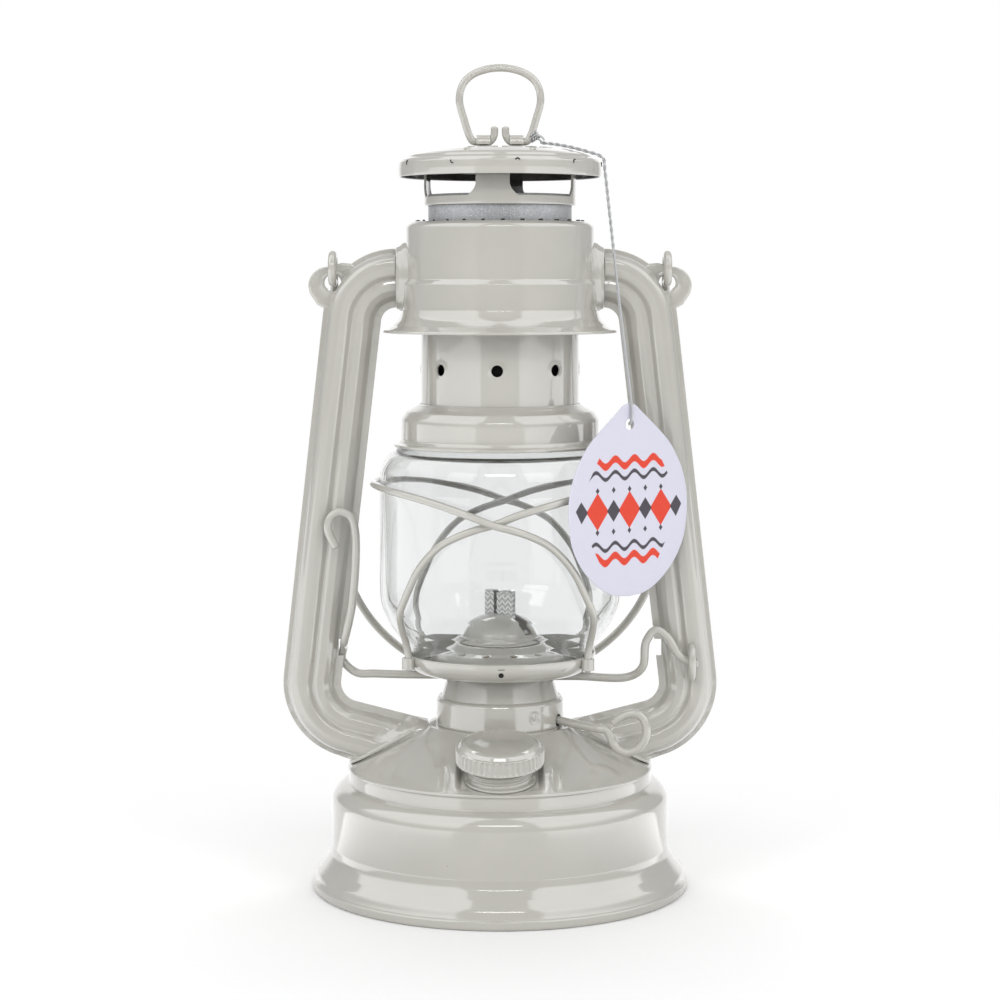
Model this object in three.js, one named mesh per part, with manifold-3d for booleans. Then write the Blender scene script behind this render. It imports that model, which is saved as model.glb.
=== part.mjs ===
// Kerosene hurricane lantern, in millimetres, +Z up, -Y towards the filler cap.
// The origin is the centre of the foot's underside.
import * as THREE from 'three';
import { mergeVertices } from 'three/addons/utils/BufferGeometryUtils.js';
import Module from 'manifold-3d';

const wasm = await Module();
wasm.setup();

// Driving dimensions
const sheet = 0.7;
const seat = 0.3;
const overrun = 4;
const wireDiameter = 3;
const facets = { large: 24, small: 18, wire: 8, bore: 8 };
const quarterTurn = Math.PI / 2;
const fullTurn = 2 * Math.PI;
const degree = Math.PI / 180;

const tank = {
  footRadius: 68, footRim: 3.2, footHeight: 14.5, wallRadius: 60.8, wallTop: 31.5,
  neckRadius: 54.3, neckTop: 43.4, bottomRise: 2.4,
};
const dome = { seamRadius: 54.3, seamHeight: 43.7, topRadius: 25.8, topHeight: 58.9, hubRadius: 23.6, hubHeight: 58.7 };
const bay = { width: 30, front: 17, back: 16.4, cornerRadius: 5 };
const filler = {
  distance: 42.2, height: 46.3, lean: 10.5 * degree, neckRadius: 11.7, neckBore: 9.8, neckHeight: 9.2,
  capRadius: 15.3, capSkirt: 5.4, capCrown: 2.2, sealThickness: 1.6, knurls: 46, knurlDepth: 0.5,
};
const collar = { radius: 23, bottom: 59, top: 68.6, lip: 0.9, skirt: 2.4 };
const cone = { footRadius: 21.6, topRadius: 20, top: 73.4, floor: 71.6 };
const wick = {
  width: 12, thickness: 2, top: 102, bottom: 27, turn: 34 * degree,
  tubeTop: 89, tubeBottom: 67.6, tubeClearance: 0.4,
};
const spur = { radius: 2.4, teeth: 8, toothDepth: 0.6, width: 1.6, spread: 3.4, shaftRadius: 1 };
const knob = { dip: 5 * degree, shaftHeight: 63.2, straight: 43, ringRadius: 6.4, ringTurn: 17 * degree };
const plate = { bowlRadius: 28, bowl: 6.4, floor: 77.9, stepRadius: 20.4, stepHeight: 84.9, pit: 24.2 };
const hub = { radius: 13.4, flange: 1.8, base: 89, crest: 97.2, slotWidth: 4.6, slotLength: 16.4, ventRadius: 1.4, vents: 12 };
const glass = {
  wall: 2, foot: 80.5, footRadius: 31.6, beltRadius: 43.2, beltLow: 106, beltHigh: 146, neckRadius: 33.4, neckLow: 161.5, top: 166.5,
};
const bell = { rimRadius: 38.5, skirtRadius: 35.4, skirtTop: 169.4, skirtDepth: 10.2, waistTop: 174.2 };
bell.rimHeight = bell.skirtTop - bell.skirtDepth;
const stack = {
  radius: 28.2, bottom: 171.4, top: 204.2, holeRadius: 2.05, holeHeight: 186.6, holes: 8, holeTurn: -2 * degree,
};
const crown = {
  rimRadius: 41.8, rimHeight: 199.8, lowerRadius: 34.9, flareTop: 207, crease: 218.2, upperRadius: 33.6,
  shoulder: 235.6, top: 238.4, throat: 25.8, guideRadius: 28.6, floor: 203.6,
};
const flue = { radius: 25.4, bottom: 176, top: 247.6 };
const coil = { wire: 1.6, radius: 28.8, curls: 5 };
const carrier = {
  radius: 27, wall: 1.3, bottom: 244.4, top: 248.8, straps: 4, strapWidth: 8.6, fillet: 2.8, strapTurn: -5 * degree,
};
const hood = {
  radius: 36.2, rimHeight: 254.4, shoulder: 260.4, edge: 262.5, deckRadius: 31.4, deck: 264, crest: 264.9,
};
const ring = { wire: 2.7, seat: 266.6, width: 29.2, crest: 292.4, foot: 11.6, prong: 272, prongGap: 3.8 };
const lug = { width: 4, centre: 6, foot: 2.6 };
const duct = {
  across: 10.4, flange: 2.2, flangeDepth: 0.6, depth: 7.2, step: 5.1, boreAcross: 5.8, boreDepth: 4.1, boreShift: 1,
  start: 37, height: 218.6, topBend: 17, lean: 6.6 * degree, cornerX: 69.4, footBend: 20, footFall: 17 * degree,
  footEnd: 24, notchLow: 83.2, notchHigh: 89.2,
};
const socket = { across: 11.1, depth: 8.4, face: 36.7, inside: 28 };
const ear = { x: 61.3, z: 215.8, radius: 6.8, thickness: 1.2, holeX: 59.4, holeZ: 216.9, holeRadius: 3 };
const guard = { wire: 2.6, footAngle: 62 * degree, foot: 79.9, sleeve: 4.2, wrap: 45.6, crest: 145.5 };
const lever = {
  wire: 3, pivotX: 56.3, pivotZ: 86.2, run: 75.9, trail: 4.2, bow: 8.6, frontY: 9.4, eyeX: 68.4, eyeZ: 82,
  eyeWire: 2.6, eyeHeight: 11, hump: 11.6, loopRadius: 5, loopHeight: 130.8, tip: 2.4,
};
const bail = { wire: 3, hook: 5, reach: 107.6, lean: 18 * degree };
const tag = { width: 56, height: 67.4, thickness: 0.6, bottom: 108.2, distance: 49.2, slide: 17.2, turn: 40 * degree, hole: 2 };
const string = { diameter: 1.2 };

// Geometry helpers
function closedMesh(geometry) {
  const bare = geometry.clone();
  bare.deleteAttribute('normal');
  bare.deleteAttribute('uv');
  bare.clearGroups();
  const merged = mergeVertices(bare, 1e-4);
  const corners = merged.index.array;
  const kept = [];
  for (let i = 0; i < corners.length; i += 3) {
    const [a, b, c] = [corners[i], corners[i + 1], corners[i + 2]];
    if (a !== b && b !== c && c !== a) kept.push(a, b, c);
  }
  merged.setIndex(kept);
  if (volumeOf(merged) < 0) {
    for (let i = 0; i < kept.length; i += 3) [kept[i + 1], kept[i + 2]] = [kept[i + 2], kept[i + 1]];
    merged.setIndex(kept);
  }
  return merged;
}

function volumeOf(geometry) {
  const place = geometry.getAttribute('position');
  const corners = geometry.index.array;
  const [a, b, c] = [new THREE.Vector3(), new THREE.Vector3(), new THREE.Vector3()];
  let sum = 0;
  for (let i = 0; i < corners.length; i += 3) {
    a.fromBufferAttribute(place, corners[i]);
    b.fromBufferAttribute(place, corners[i + 1]);
    c.fromBufferAttribute(place, corners[i + 2]);
    sum += a.dot(b.cross(c)) / 6;
  }
  return sum;
}

function solid(geometry) {
  const mesh = closedMesh(geometry);
  return new wasm.Manifold(new wasm.Mesh({
    numProp: 3,
    vertProperties: new Float32Array(mesh.getAttribute('position').array),
    triVerts: new Uint32Array(mesh.index.array),
  }));
}

function geometryOf(manifold) {
  const mesh = manifold.getMesh();
  const geometry = new THREE.BufferGeometry();
  geometry.setAttribute('position', new THREE.BufferAttribute(new Float32Array(mesh.vertProperties), 3));
  geometry.setIndex(Array.from(mesh.triVerts));
  return geometry;
}

function cut(geometry, ...tools) {
  return geometryOf(tools.reduce((body, tool) => body.subtract(solid(tool)), solid(geometry)));
}

function join(geometry, ...others) {
  return geometryOf(others.reduce((body, other) => body.add(solid(other)), solid(geometry)));
}

// A profile of [radius, height] pairs, turned about Z
function revolve(profile, segments) {
  const points = profile.map(([radius, height]) => new THREE.Vector2(radius, height));
  return new THREE.LatheGeometry(points, segments).rotateX(quarterTurn);
}

// A pressed sheet: the outside line turned about Z, with its inside line one wall away
function pressed(line, wall, segments) {
  const inside = line.map(([radius, height], i) => {
    const before = line[Math.max(i - 1, 0)];
    const after = line[Math.min(i + 1, line.length - 1)];
    const run = Math.hypot(after[0] - before[0], after[1] - before[1]);
    return [Math.max(radius - wall * (after[1] - before[1]) / run, 0), height + wall * (after[0] - before[0]) / run];
  });
  return revolve([...line, ...inside.reverse(), line[0]], segments);
}

// An arc of [radius, height] pairs about a centre, from one angle to another
function arc(centre, radius, from, to, steps) {
  return Array.from({ length: steps + 1 }, (_, i) => {
    const angle = from + (to - from) * i / steps;
    return [centre[0] + radius * Math.cos(angle), centre[1] + radius * Math.sin(angle)];
  });
}

function disc(radius, sides) {
  const points = Array.from({ length: sides }, (_, i) => {
    const angle = fullTurn * i / sides;
    return new THREE.Vector2(radius * Math.cos(angle), radius * Math.sin(angle));
  });
  return new THREE.Shape(points);
}

// A smooth curve whose stations lie at its own points, so that tight bends get more of them
class BentCurve extends THREE.CatmullRomCurve3 {
  getPointAt(u, target) {
    return this.getPoint(u, target);
  }

  getTangentAt(u, target) {
    return this.getTangent(u, target);
  }
}

// A round wire along a smooth curve through its points
function wire(points, diameter, stepsPerSpan = 1, sides = facets.wire) {
  const path = new BentCurve(points.map((p) => new THREE.Vector3(...p)), false, 'centripetal');
  const steps = (points.length - 1) * stepsPerSpan;
  return new THREE.ExtrudeGeometry(disc(diameter / 2, sides), { steps, bevelEnabled: false, extrudePath: path });
}

function cylinder(radius, length, sides) {
  return new THREE.CylinderGeometry(radius, radius, length, sides).rotateX(quarterTurn);
}

function roundedBox(width, depth, corner) {
  const [x, y] = [width / 2, depth / 2];
  const shape = new THREE.Shape();
  shape.moveTo(-x + corner, -y).lineTo(x - corner, -y).quadraticCurveTo(x, -y, x, -y + corner);
  shape.lineTo(x, y - corner).quadraticCurveTo(x, y, x - corner, y);
  shape.lineTo(-x + corner, y).quadraticCurveTo(-x, y, -x, y - corner);
  shape.lineTo(-x, -y + corner).quadraticCurveTo(-x, -y, -x + corner, -y);
  return shape;
}

function prism(shape, height, curveSegments = 3) {
  return new THREE.ExtrudeGeometry(shape, { depth: height, bevelEnabled: false, curveSegments });
}

const lantern = new THREE.Group();
const paint = { color: 0xb5b5ae, roughness: 0.28, metalness: 0.1 };
const brass = { color: 0xb08d57, roughness: 0.4, metalness: 0.9 };

function add(name, geometry, look = paint) {
  const mesh = new THREE.Mesh(closedMesh(geometry), new THREE.MeshStandardMaterial(look));
  mesh.name = name;
  lantern.add(mesh);
  return mesh;
}

// Tank: foot and wall in one drawn piece
const footSwell = tank.footRadius - tank.wallRadius;
const wallLine = [
  [tank.footRadius - tank.footRim, 0],
  [tank.footRadius - sheet, 0],
  [tank.footRadius, sheet],
  [tank.footRadius, tank.footRim],
  [tank.wallRadius + footSwell * 0.78, tank.footHeight * 0.42],
  [tank.wallRadius + footSwell * 0.4, tank.footHeight * 0.66],
  [tank.wallRadius + footSwell * 0.1, tank.footHeight * 0.9],
  [tank.wallRadius, tank.footHeight],
  [tank.wallRadius, tank.wallTop],
  ...arc([tank.neckRadius, tank.wallTop], tank.wallRadius - tank.neckRadius, 0, quarterTurn, 3).slice(1),
  [tank.neckRadius, tank.neckTop],
];
add('tank_body', pressed(wallLine, sheet, facets.large));

const bottomRadius = tank.wallRadius - sheet - seat;
add('tank_bottom', revolve([
  [0, tank.footHeight - tank.bottomRise], [bottomRadius - tank.bottomRise, tank.footHeight - tank.bottomRise],
  [bottomRadius, tank.footHeight], [bottomRadius, tank.footHeight + tank.bottomRise],
  [bottomRadius - sheet, tank.footHeight + tank.bottomRise], [bottomRadius - sheet, tank.footHeight + sheet],
  [bottomRadius - tank.bottomRise, tank.footHeight - tank.bottomRise + sheet],
  [0, tank.footHeight - tank.bottomRise + sheet],
], facets.large));

// Tank dome: a cone with a flat bay pressed in for the filler
const fillerFoot = new THREE.Vector3(0, -filler.distance, filler.height);
const fillerAxis = new THREE.Vector3(0, -Math.sin(filler.lean), Math.cos(filler.lean));

function alongFiller(geometry, height = 0) {
  geometry.rotateX(filler.lean);
  return geometry.translate(...fillerFoot.clone().addScaledVector(fillerAxis, height).toArray());
}

function domeBody(drop) {
  return revolve([
    [0, dome.seamHeight - drop], [dome.seamRadius - drop / 2, dome.seamHeight - drop],
    [dome.seamRadius - drop / 2, dome.seamHeight + sheet - drop],
    [dome.topRadius, dome.topHeight - drop], [dome.hubRadius, dome.hubHeight - drop], [0, dome.hubHeight - drop],
  ], facets.large);
}

function bayTool(grow) {
  const shape = roundedBox(bay.width + 2 * grow, bay.front + bay.back + 2 * grow, bay.cornerRadius);
  return alongFiller(prism(shape, dome.hubHeight).translate(0, (bay.back - bay.front) / 2, -grow));
}

const domeWall = sheet * 1.2;
const domeShell = solid(domeBody(0)).subtract(solid(bayTool(0)))
  .subtract(solid(domeBody(domeWall)).subtract(solid(bayTool(domeWall))))
  .subtract(solid(alongFiller(cylinder(filler.neckBore, overrun, facets.small))))
  .subtract(solid(cylinder(collar.radius - 3 * sheet, 2 * dome.hubHeight, facets.small)));
add('tank_dome', geometryOf(domeShell));

// Filler: neck, washer and cap stand on the leaning filler axis
const neckStart = seat;
const neckEnd = neckStart + filler.neckHeight;
add('filler_neck', alongFiller(revolve([
  [filler.neckBore + sheet, neckStart], [filler.neckRadius + sheet, neckStart],
  [filler.neckRadius + sheet, neckStart + sheet], [filler.neckRadius - sheet, neckStart + sheet],
  [filler.neckRadius - sheet, neckEnd], [filler.neckBore, neckEnd], [filler.neckBore, neckStart],
  [filler.neckBore + sheet, neckStart],
], facets.small)));

const sealStart = neckEnd + seat;
const sealEnd = sealStart + filler.sealThickness;
add('filler_seal', alongFiller(revolve([
  [filler.neckBore, sealStart], [filler.neckRadius, sealStart], [filler.neckRadius, sealEnd],
  [filler.neckBore, sealEnd], [filler.neckBore, sealStart],
], facets.small)), { color: 0x2a2826, roughness: 0.8, metalness: 0 });

function knurledDisc(radius, depth, count) {
  const points = Array.from({ length: 2 * count }, (_, i) => {
    const reach = i % 2 ? radius : radius - depth;
    return new THREE.Vector2(reach * Math.cos(Math.PI * i / count), reach * Math.sin(Math.PI * i / count));
  });
  return new THREE.Shape(points);
}

const capInside = sealEnd + seat;
const capRim = capInside + sheet - filler.capSkirt;
const capShoulder = capInside + sheet;
const capBand = prism(knurledDisc(filler.capRadius, filler.knurlDepth, filler.knurls), filler.capSkirt)
  .translate(0, 0, capRim);
const capTop = revolve([
  [0, capShoulder - sheet], [filler.capRadius - 2 * filler.knurlDepth, capShoulder - sheet],
  [filler.capRadius - 2 * filler.knurlDepth, capShoulder + sheet],
  [filler.capRadius - filler.capCrown, capShoulder + filler.capCrown * 0.8], [0, capShoulder + filler.capCrown],
], facets.small);
const capHollow = cylinder(filler.neckRadius + 2 * seat, filler.capSkirt, facets.small)
  .translate(0, 0, capInside - filler.capSkirt / 2);
add('filler_cap', alongFiller(cut(join(capBand, capTop), capHollow)));

// Burner: collar, air cone with its slotted floor, and the flat wick tube
const shaftOffset = wick.thickness / 2 + seat + spur.radius;
const knobFrame = new THREE.Matrix4().makeRotationZ(-wick.turn)
  .multiply(new THREE.Matrix4().makeTranslation(0, shaftOffset, knob.shaftHeight))
  .multiply(new THREE.Matrix4().makeRotationY(knob.dip));
const shaftHole = cylinder(wireDiameter / 2 + seat, collar.radius, facets.wire).rotateY(quarterTurn)
  .translate(collar.radius, 0, 0).applyMatrix4(knobFrame);
add('burner_collar', cut(pressed([
  [collar.radius, collar.bottom], [collar.radius, collar.top - collar.lip],
  [collar.radius - collar.lip / 3, collar.top - collar.lip / 3], [collar.radius - collar.lip, collar.top],
], sheet, facets.large), shaftHole));

function acrossWick(geometry) {
  return geometry.rotateZ(-wick.turn);
}

const wickRoom = wick.tubeClearance;
const tubeWidth = wick.width + 2 * wickRoom + 2 * sheet;
const tubeThickness = wick.thickness + 2 * wickRoom + 2 * sheet;

function box(width, depth, low, high) {
  return new THREE.BoxGeometry(width, depth, high - low).translate(0, 0, (low + high) / 2);
}

const coneWall = [
  [cone.footRadius, collar.top - collar.skirt], [cone.footRadius, collar.top],
  [cone.topRadius, cone.top],
];
const coneFloor = revolve([
  [0, cone.floor - sheet], [cone.topRadius, cone.floor - sheet], [cone.topRadius, cone.floor], [0, cone.floor],
], facets.large);
add('burner_cone', cut(
  join(pressed(coneWall, sheet, facets.large), coneFloor),
  acrossWick(box(tubeWidth + 2 * seat, tubeThickness + 2 * seat, cone.floor - overrun, cone.floor + overrun)),
));

add('wick_tube', acrossWick(cut(
  join(
    box(tubeWidth, tubeThickness, wick.tubeBottom, wick.tubeTop),
    box(tubeWidth + 2 * sheet, tubeThickness + 2 * sheet, cone.floor + seat, cone.floor + seat + sheet),
  ),
  box(wick.width + 2 * wickRoom, wick.thickness + 2 * wickRoom, wick.tubeBottom - overrun, wick.tubeTop + overrun),
)), brass);

const wickEdge = wick.thickness * 0.4;
add('wick', acrossWick(prism(roundedBox(wick.width, wick.thickness, wickEdge), wick.top - wick.bottom, 1)
  .translate(0, 0, wick.bottom)), { color: 0xe6e4de, roughness: 0.95, metalness: 0 });

// Wick drive: two toothed wheels on a wire shaft that ends in a ring
function toothedDisc(radius, depth, count) {
  const points = Array.from({ length: 4 * count }, (_, i) => {
    const reach = i % 4 < 2 ? radius : radius - depth;
    return new THREE.Vector2(reach * Math.cos(quarterTurn * i / count), reach * Math.sin(quarterTurn * i / count));
  });
  const shape = new THREE.Shape(points);
  shape.holes.push(new THREE.Path(disc(spur.shaftRadius + seat / 2, facets.wire).getPoints()));
  return shape;
}

for (const [name, side] of [['wick_spur_left', -1], ['wick_spur_right', 1]]) {
  const wheel = prism(toothedDisc(spur.radius, spur.toothDepth, spur.teeth), spur.width).rotateY(quarterTurn)
    .translate(side * spur.spread - spur.width / 2, 0, 0);
  add(name, wheel.applyMatrix4(knobFrame), brass);
}

// The shaft's own frame runs along +X; the ring stands in a plane turned towards the viewer
function knobPoint(x, y, z) {
  return new THREE.Vector3(x, y, z).applyMatrix4(knobFrame).toArray();
}

const ringPlane = new THREE.Vector3(Math.cos(knob.ringTurn), -Math.sin(knob.ringTurn), 0);
const shaftEnd = new THREE.Vector3(...knobPoint(knob.straight, 0, 0));
const ringCentre = shaftEnd.clone().addScaledVector(ringPlane, knob.ringRadius);
const ringTurns = 11;
const ringPoints = Array.from({ length: ringTurns }, (_, i) => {
  const angle = Math.PI + (fullTurn - 24 * degree) * (i + 0.6) / ringTurns;
  return ringCentre.clone().addScaledVector(ringPlane, knob.ringRadius * Math.cos(angle))
    .add(new THREE.Vector3(0, 0, knob.ringRadius * Math.sin(angle))).toArray();
});
add('wick_shaft', join(
  wire([knobPoint(collar.radius / 2, 0, 0), knobPoint(knob.straight * 0.7, 0, 0), knobPoint(knob.straight * 0.93, 0, 0),
    ...ringPoints], wireDiameter, 2),
  new THREE.CylinderGeometry(spur.shaftRadius, spur.shaftRadius, collar.radius, facets.wire)
    .rotateZ(quarterTurn).translate(collar.radius / 4, 0, 0).applyMatrix4(knobFrame),
));

// Globe carriage: the slotted dome, the dished plate with its vents, and the glass
const domeLine = [
  [hub.radius + hub.flange, hub.base + sheet],
  ...arc([0, 0], 1, 0, quarterTurn, 5)
    .map(([across, up]) => [hub.radius * across, hub.base + sheet + (hub.crest - hub.base - sheet) * up]),
];
add('flame_dome', cut(
  pressed(domeLine, sheet, facets.small),
  acrossWick(box(hub.slotLength, hub.slotWidth, hub.base + sheet, hub.crest + overrun)),
));

const plateLine = [
  [hub.radius - hub.flange, hub.base - seat - sheet], [hub.radius + hub.flange, hub.base - seat - sheet],
  [hub.radius + 1.8 * hub.flange, plate.stepHeight + 2 * sheet], [plate.stepRadius, plate.stepHeight],
  [(plate.stepRadius + plate.pit) / 2, plate.stepHeight - 2 * sheet], [plate.pit, plate.floor],
  ...arc([plate.bowlRadius, plate.floor + plate.bowl], plate.bowl, -quarterTurn, 0, 4),
];
const vents = Array.from({ length: hub.vents }, (_, i) => {
  const angle = fullTurn * (i + 0.5) / hub.vents;
  return cylinder(hub.ventRadius, 3 * overrun, facets.wire)
    .translate(plate.stepRadius * 0.92 * Math.cos(angle), plate.stepRadius * 0.92 * Math.sin(angle), plate.stepHeight);
});
const guardFoot = plate.bowlRadius + plate.bowl + seat + guard.wire / 2;
const sleeveBore = guard.wire / 2 + seat;
const sleeves = [1, -1].flatMap((front) => [1, -1].map((side) => revolve([
  [sleeveBore, 0], [sleeveBore + sheet, 0], [sleeveBore + sheet, guard.sleeve], [sleeveBore, guard.sleeve], [sleeveBore, 0],
], facets.bore).translate(
  side * guardFoot * Math.sin(guard.footAngle), -front * guardFoot * Math.cos(guard.footAngle), guard.foot + sheet,
)));
add('globe_plate', join(cut(pressed(plateLine, sheet, facets.large), ...vents), ...sleeves));

const beltSwell = glass.beltRadius - glass.footRadius;
const globeLine = [
  [glass.footRadius, glass.foot],
  [glass.footRadius + beltSwell * 0.12, plate.floor + plate.bowl + 2 * seat],
  [glass.footRadius + beltSwell * 0.26, glass.foot + (glass.beltLow - glass.foot) * 0.37],
  [glass.footRadius + beltSwell * 0.6, glass.foot + (glass.beltLow - glass.foot) * 0.56],
  [glass.footRadius + beltSwell * 0.87, glass.foot + (glass.beltLow - glass.foot) * 0.77],
  [glass.beltRadius, glass.beltLow], [glass.beltRadius, glass.beltHigh],
  [glass.beltRadius - beltSwell * 0.07, glass.beltHigh + (bell.rimHeight - glass.beltHigh) * 0.42],
  [glass.beltRadius - beltSwell * 0.24, glass.beltHigh + (bell.rimHeight - glass.beltHigh) * 0.7],
  [glass.beltRadius - beltSwell * 0.52, bell.rimHeight - sheet - 2 * seat],
  [glass.neckRadius + seat, bell.rimHeight + seat], [glass.neckRadius, glass.neckLow],
  [glass.neckRadius, glass.top],
];
add('globe', pressed(globeLine, glass.wall, facets.large), {
  color: 0xeef1f0, roughness: 0.05, metalness: 0, transparent: true, opacity: 0.3,
});

// Chimney: bell on the glass, perforated stack, galvanised flue and the spring that holds them down
add('globe_bell', pressed([
  [bell.rimRadius, bell.rimHeight], [bell.skirtRadius + 2 * sheet, bell.rimHeight + sheet],
  [bell.skirtRadius, bell.rimHeight + 3 * sheet], [bell.skirtRadius, bell.skirtTop],
  [bell.skirtRadius - 2 * sheet, bell.skirtTop + 2 * sheet],
  [stack.radius + seat + 3 * sheet, bell.waistTop - sheet], [stack.radius + seat + sheet, bell.waistTop],
], sheet, facets.large));

const stackHoles = Array.from({ length: stack.holes / 2 }, (_, i) => cylinder(stack.holeRadius, 3 * stack.radius, facets.wire)
  .rotateX(quarterTurn).rotateZ(stack.holeTurn + fullTurn * i / stack.holes).translate(0, 0, stack.holeHeight));
add('chimney_tube', cut(pressed([
  [stack.radius, stack.bottom], [stack.radius, stack.top - sheet], [stack.radius - sheet, stack.top],
  [flue.radius + seat, stack.top],
], sheet, facets.large), ...stackHoles));

const zinc = { color: 0xb9bcbe, roughness: 0.45, metalness: 0.85 };
add('flue_tube', revolve([
  [flue.radius - sheet, flue.bottom], [flue.radius, flue.bottom], [flue.radius, flue.top],
  [flue.radius - sheet, flue.top], [flue.radius - sheet, flue.bottom],
], facets.large), zinc);

const crownLine = [
  [crown.rimRadius, crown.rimHeight], [crown.rimRadius - sheet, crown.rimHeight + sheet],
  [crown.lowerRadius + (crown.rimRadius - crown.lowerRadius) * 0.48, crown.rimHeight + (crown.flareTop - crown.rimHeight) * 0.34],
  [crown.lowerRadius + (crown.rimRadius - crown.lowerRadius) * 0.14, crown.rimHeight + (crown.flareTop - crown.rimHeight) * 0.66],
  [crown.lowerRadius, crown.flareTop], [crown.lowerRadius, crown.crease - sheet], [crown.upperRadius, crown.crease + sheet],
  ...arc([crown.upperRadius - (crown.top - crown.shoulder), crown.shoulder], crown.top - crown.shoulder, 0, quarterTurn, 3),
  [crown.throat, crown.top],
];
const ductHole = cylinder(duct.boreDepth, 3 * crown.rimRadius, facets.bore).rotateY(quarterTurn)
  .translate(0, 0, duct.height);
add('crown', cut(pressed(crownLine, sheet, facets.large), ductHole));

add('crown_floor', pressed([
  [crown.guideRadius, crown.floor], [crown.lowerRadius - sheet - seat, crown.floor],
  [crown.lowerRadius - sheet - seat, crown.flareTop],
], sheet, facets.large));

const coilSteps = 8;
const coilLow = stack.top + sheet + seat + coil.wire / 2;
const coilHigh = crown.top - sheet - seat - coil.wire / 2;
const coilPoints = Array.from({ length: coil.curls * coilSteps + 1 }, (_, i) => {
  const angle = fullTurn * i / coilSteps;
  const climb = coilLow + (coilHigh - coilLow) * i / (coil.curls * coilSteps);
  return [coil.radius * Math.cos(angle), coil.radius * Math.sin(angle), climb];
});
add('chimney_spring', wire(coilPoints, coil.wire, 1, 5), zinc);

// Rain hood on a ring with four straps
const strapTop = hood.edge + sheet;
const strapShape = new THREE.Shape();
const [strapHalf, strapRise] = [carrier.strapWidth / 2, strapTop - carrier.top];
strapShape.moveTo(-strapHalf - carrier.fillet, -sheet).lineTo(strapHalf + carrier.fillet, -sheet)
  .lineTo(strapHalf + carrier.fillet, 0).quadraticCurveTo(strapHalf, 0, strapHalf, carrier.fillet)
  .lineTo(strapHalf, strapRise).lineTo(-strapHalf, strapRise).lineTo(-strapHalf, carrier.fillet)
  .quadraticCurveTo(-strapHalf, 0, -strapHalf - carrier.fillet, 0);
const straps = Array.from({ length: carrier.straps }, (_, i) => prism(strapShape, sheet).rotateX(quarterTurn)
  .translate(0, -carrier.radius + 2 * sheet, carrier.top)
  .rotateZ(carrier.strapTurn + fullTurn * i / carrier.straps));
add('hood_carrier', join(revolve([
  [carrier.radius - carrier.wall, carrier.bottom], [carrier.radius, carrier.bottom], [carrier.radius, carrier.top],
  [carrier.radius - carrier.wall, carrier.top], [carrier.radius - carrier.wall, carrier.bottom],
], facets.large), ...straps));

add('hood', pressed([
  [hood.radius, hood.rimHeight], [hood.radius, hood.shoulder],
  [hood.radius - (hood.edge - hood.shoulder) * 0.3, hood.shoulder + (hood.edge - hood.shoulder) * 0.7],
  [hood.radius - (hood.edge - hood.shoulder), hood.edge], [hood.deckRadius, hood.edge + sheet / 2],
  [hood.deckRadius - 2 * sheet, hood.deck], [hood.deckRadius * 0.6, hood.deck + (hood.crest - hood.deck) * 0.7],
  [0, hood.crest],
], sheet, facets.large));

// Two strap lugs hold the wire ring, whose ends turn up between them
const lugInside = ring.wire / 2 + seat;
const lugLine = new THREE.Shape();
const [lugOuter, lugFoot] = [lugInside + sheet, ring.seat - hood.crest - 2 * seat];
lugLine.moveTo(-lugOuter - lug.foot, -lugFoot).lineTo(-lugInside, -lugFoot).lineTo(-lugInside, 0)
  .absarc(0, 0, lugInside, Math.PI, 0, true).lineTo(lugInside, -lugFoot).lineTo(lugOuter + lug.foot, -lugFoot)
  .lineTo(lugOuter + lug.foot, sheet - lugFoot).lineTo(lugOuter, sheet - lugFoot).lineTo(lugOuter, 0)
  .absarc(0, 0, lugOuter, 0, Math.PI, false).lineTo(-lugOuter, sheet - lugFoot)
  .lineTo(-lugOuter - lug.foot, sheet - lugFoot);
for (const [name, side] of [['hood_lug_left', -1], ['hood_lug_right', 1]]) {
  add(name, prism(lugLine, lug.width, 4).rotateX(quarterTurn).rotateZ(quarterTurn)
    .translate(side * lug.centre - lug.width / 2, 0, ring.seat));
}

const ringSide = [
  [ring.prongGap / 2, ring.prong], [ring.prongGap * 0.58, ring.seat + ring.wire * 0.7],
  [ring.prongGap, ring.seat], [lug.centre + lug.width / 2, ring.seat], [ring.foot, ring.seat + ring.wire * 0.6],
  [ring.width * 0.45, ring.seat + (ring.crest - ring.seat) * 0.29],
  [ring.width / 2, ring.seat + (ring.crest - ring.seat) * 0.56],
  [ring.width * 0.46, ring.seat + (ring.crest - ring.seat) * 0.8],
  [ring.width * 0.3, ring.seat + (ring.crest - ring.seat) * 0.955],
];
add('top_ring', wire([
  ...ringSide.map(([x, z]) => [-x, 0, z]), [0, 0, ring.crest], ...ringSide.map(([x, z]) => [x, 0, z]).reverse(),
], ring.wire));

// Side air tubes: two pressed half shells with flanges, swept down from the crown to the tank dome
const { across, flange, flangeDepth, depth, step } = duct;
const frontHalf = [
  [across, flangeDepth], [across - flange, flangeDepth], [across * 0.72, depth * 0.78], [across * 0.52, depth],
  [across * 0.16, depth], [-across * 0.04, step], [-across * 0.37, step * 0.97], [-across * 0.64, step * 0.63],
  [flange - across, flangeDepth], [-across, flangeDepth],
];
const ductSection = [...frontHalf, ...frontHalf.map(([u, v]) => [u, -v]).reverse()];
const boreSection = Array.from({ length: facets.bore }, (_, i) => {
  const angle = fullTurn * i / facets.bore;
  return [duct.boreShift + duct.boreAcross * Math.cos(angle), duct.boreDepth * Math.sin(angle)];
});

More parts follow.
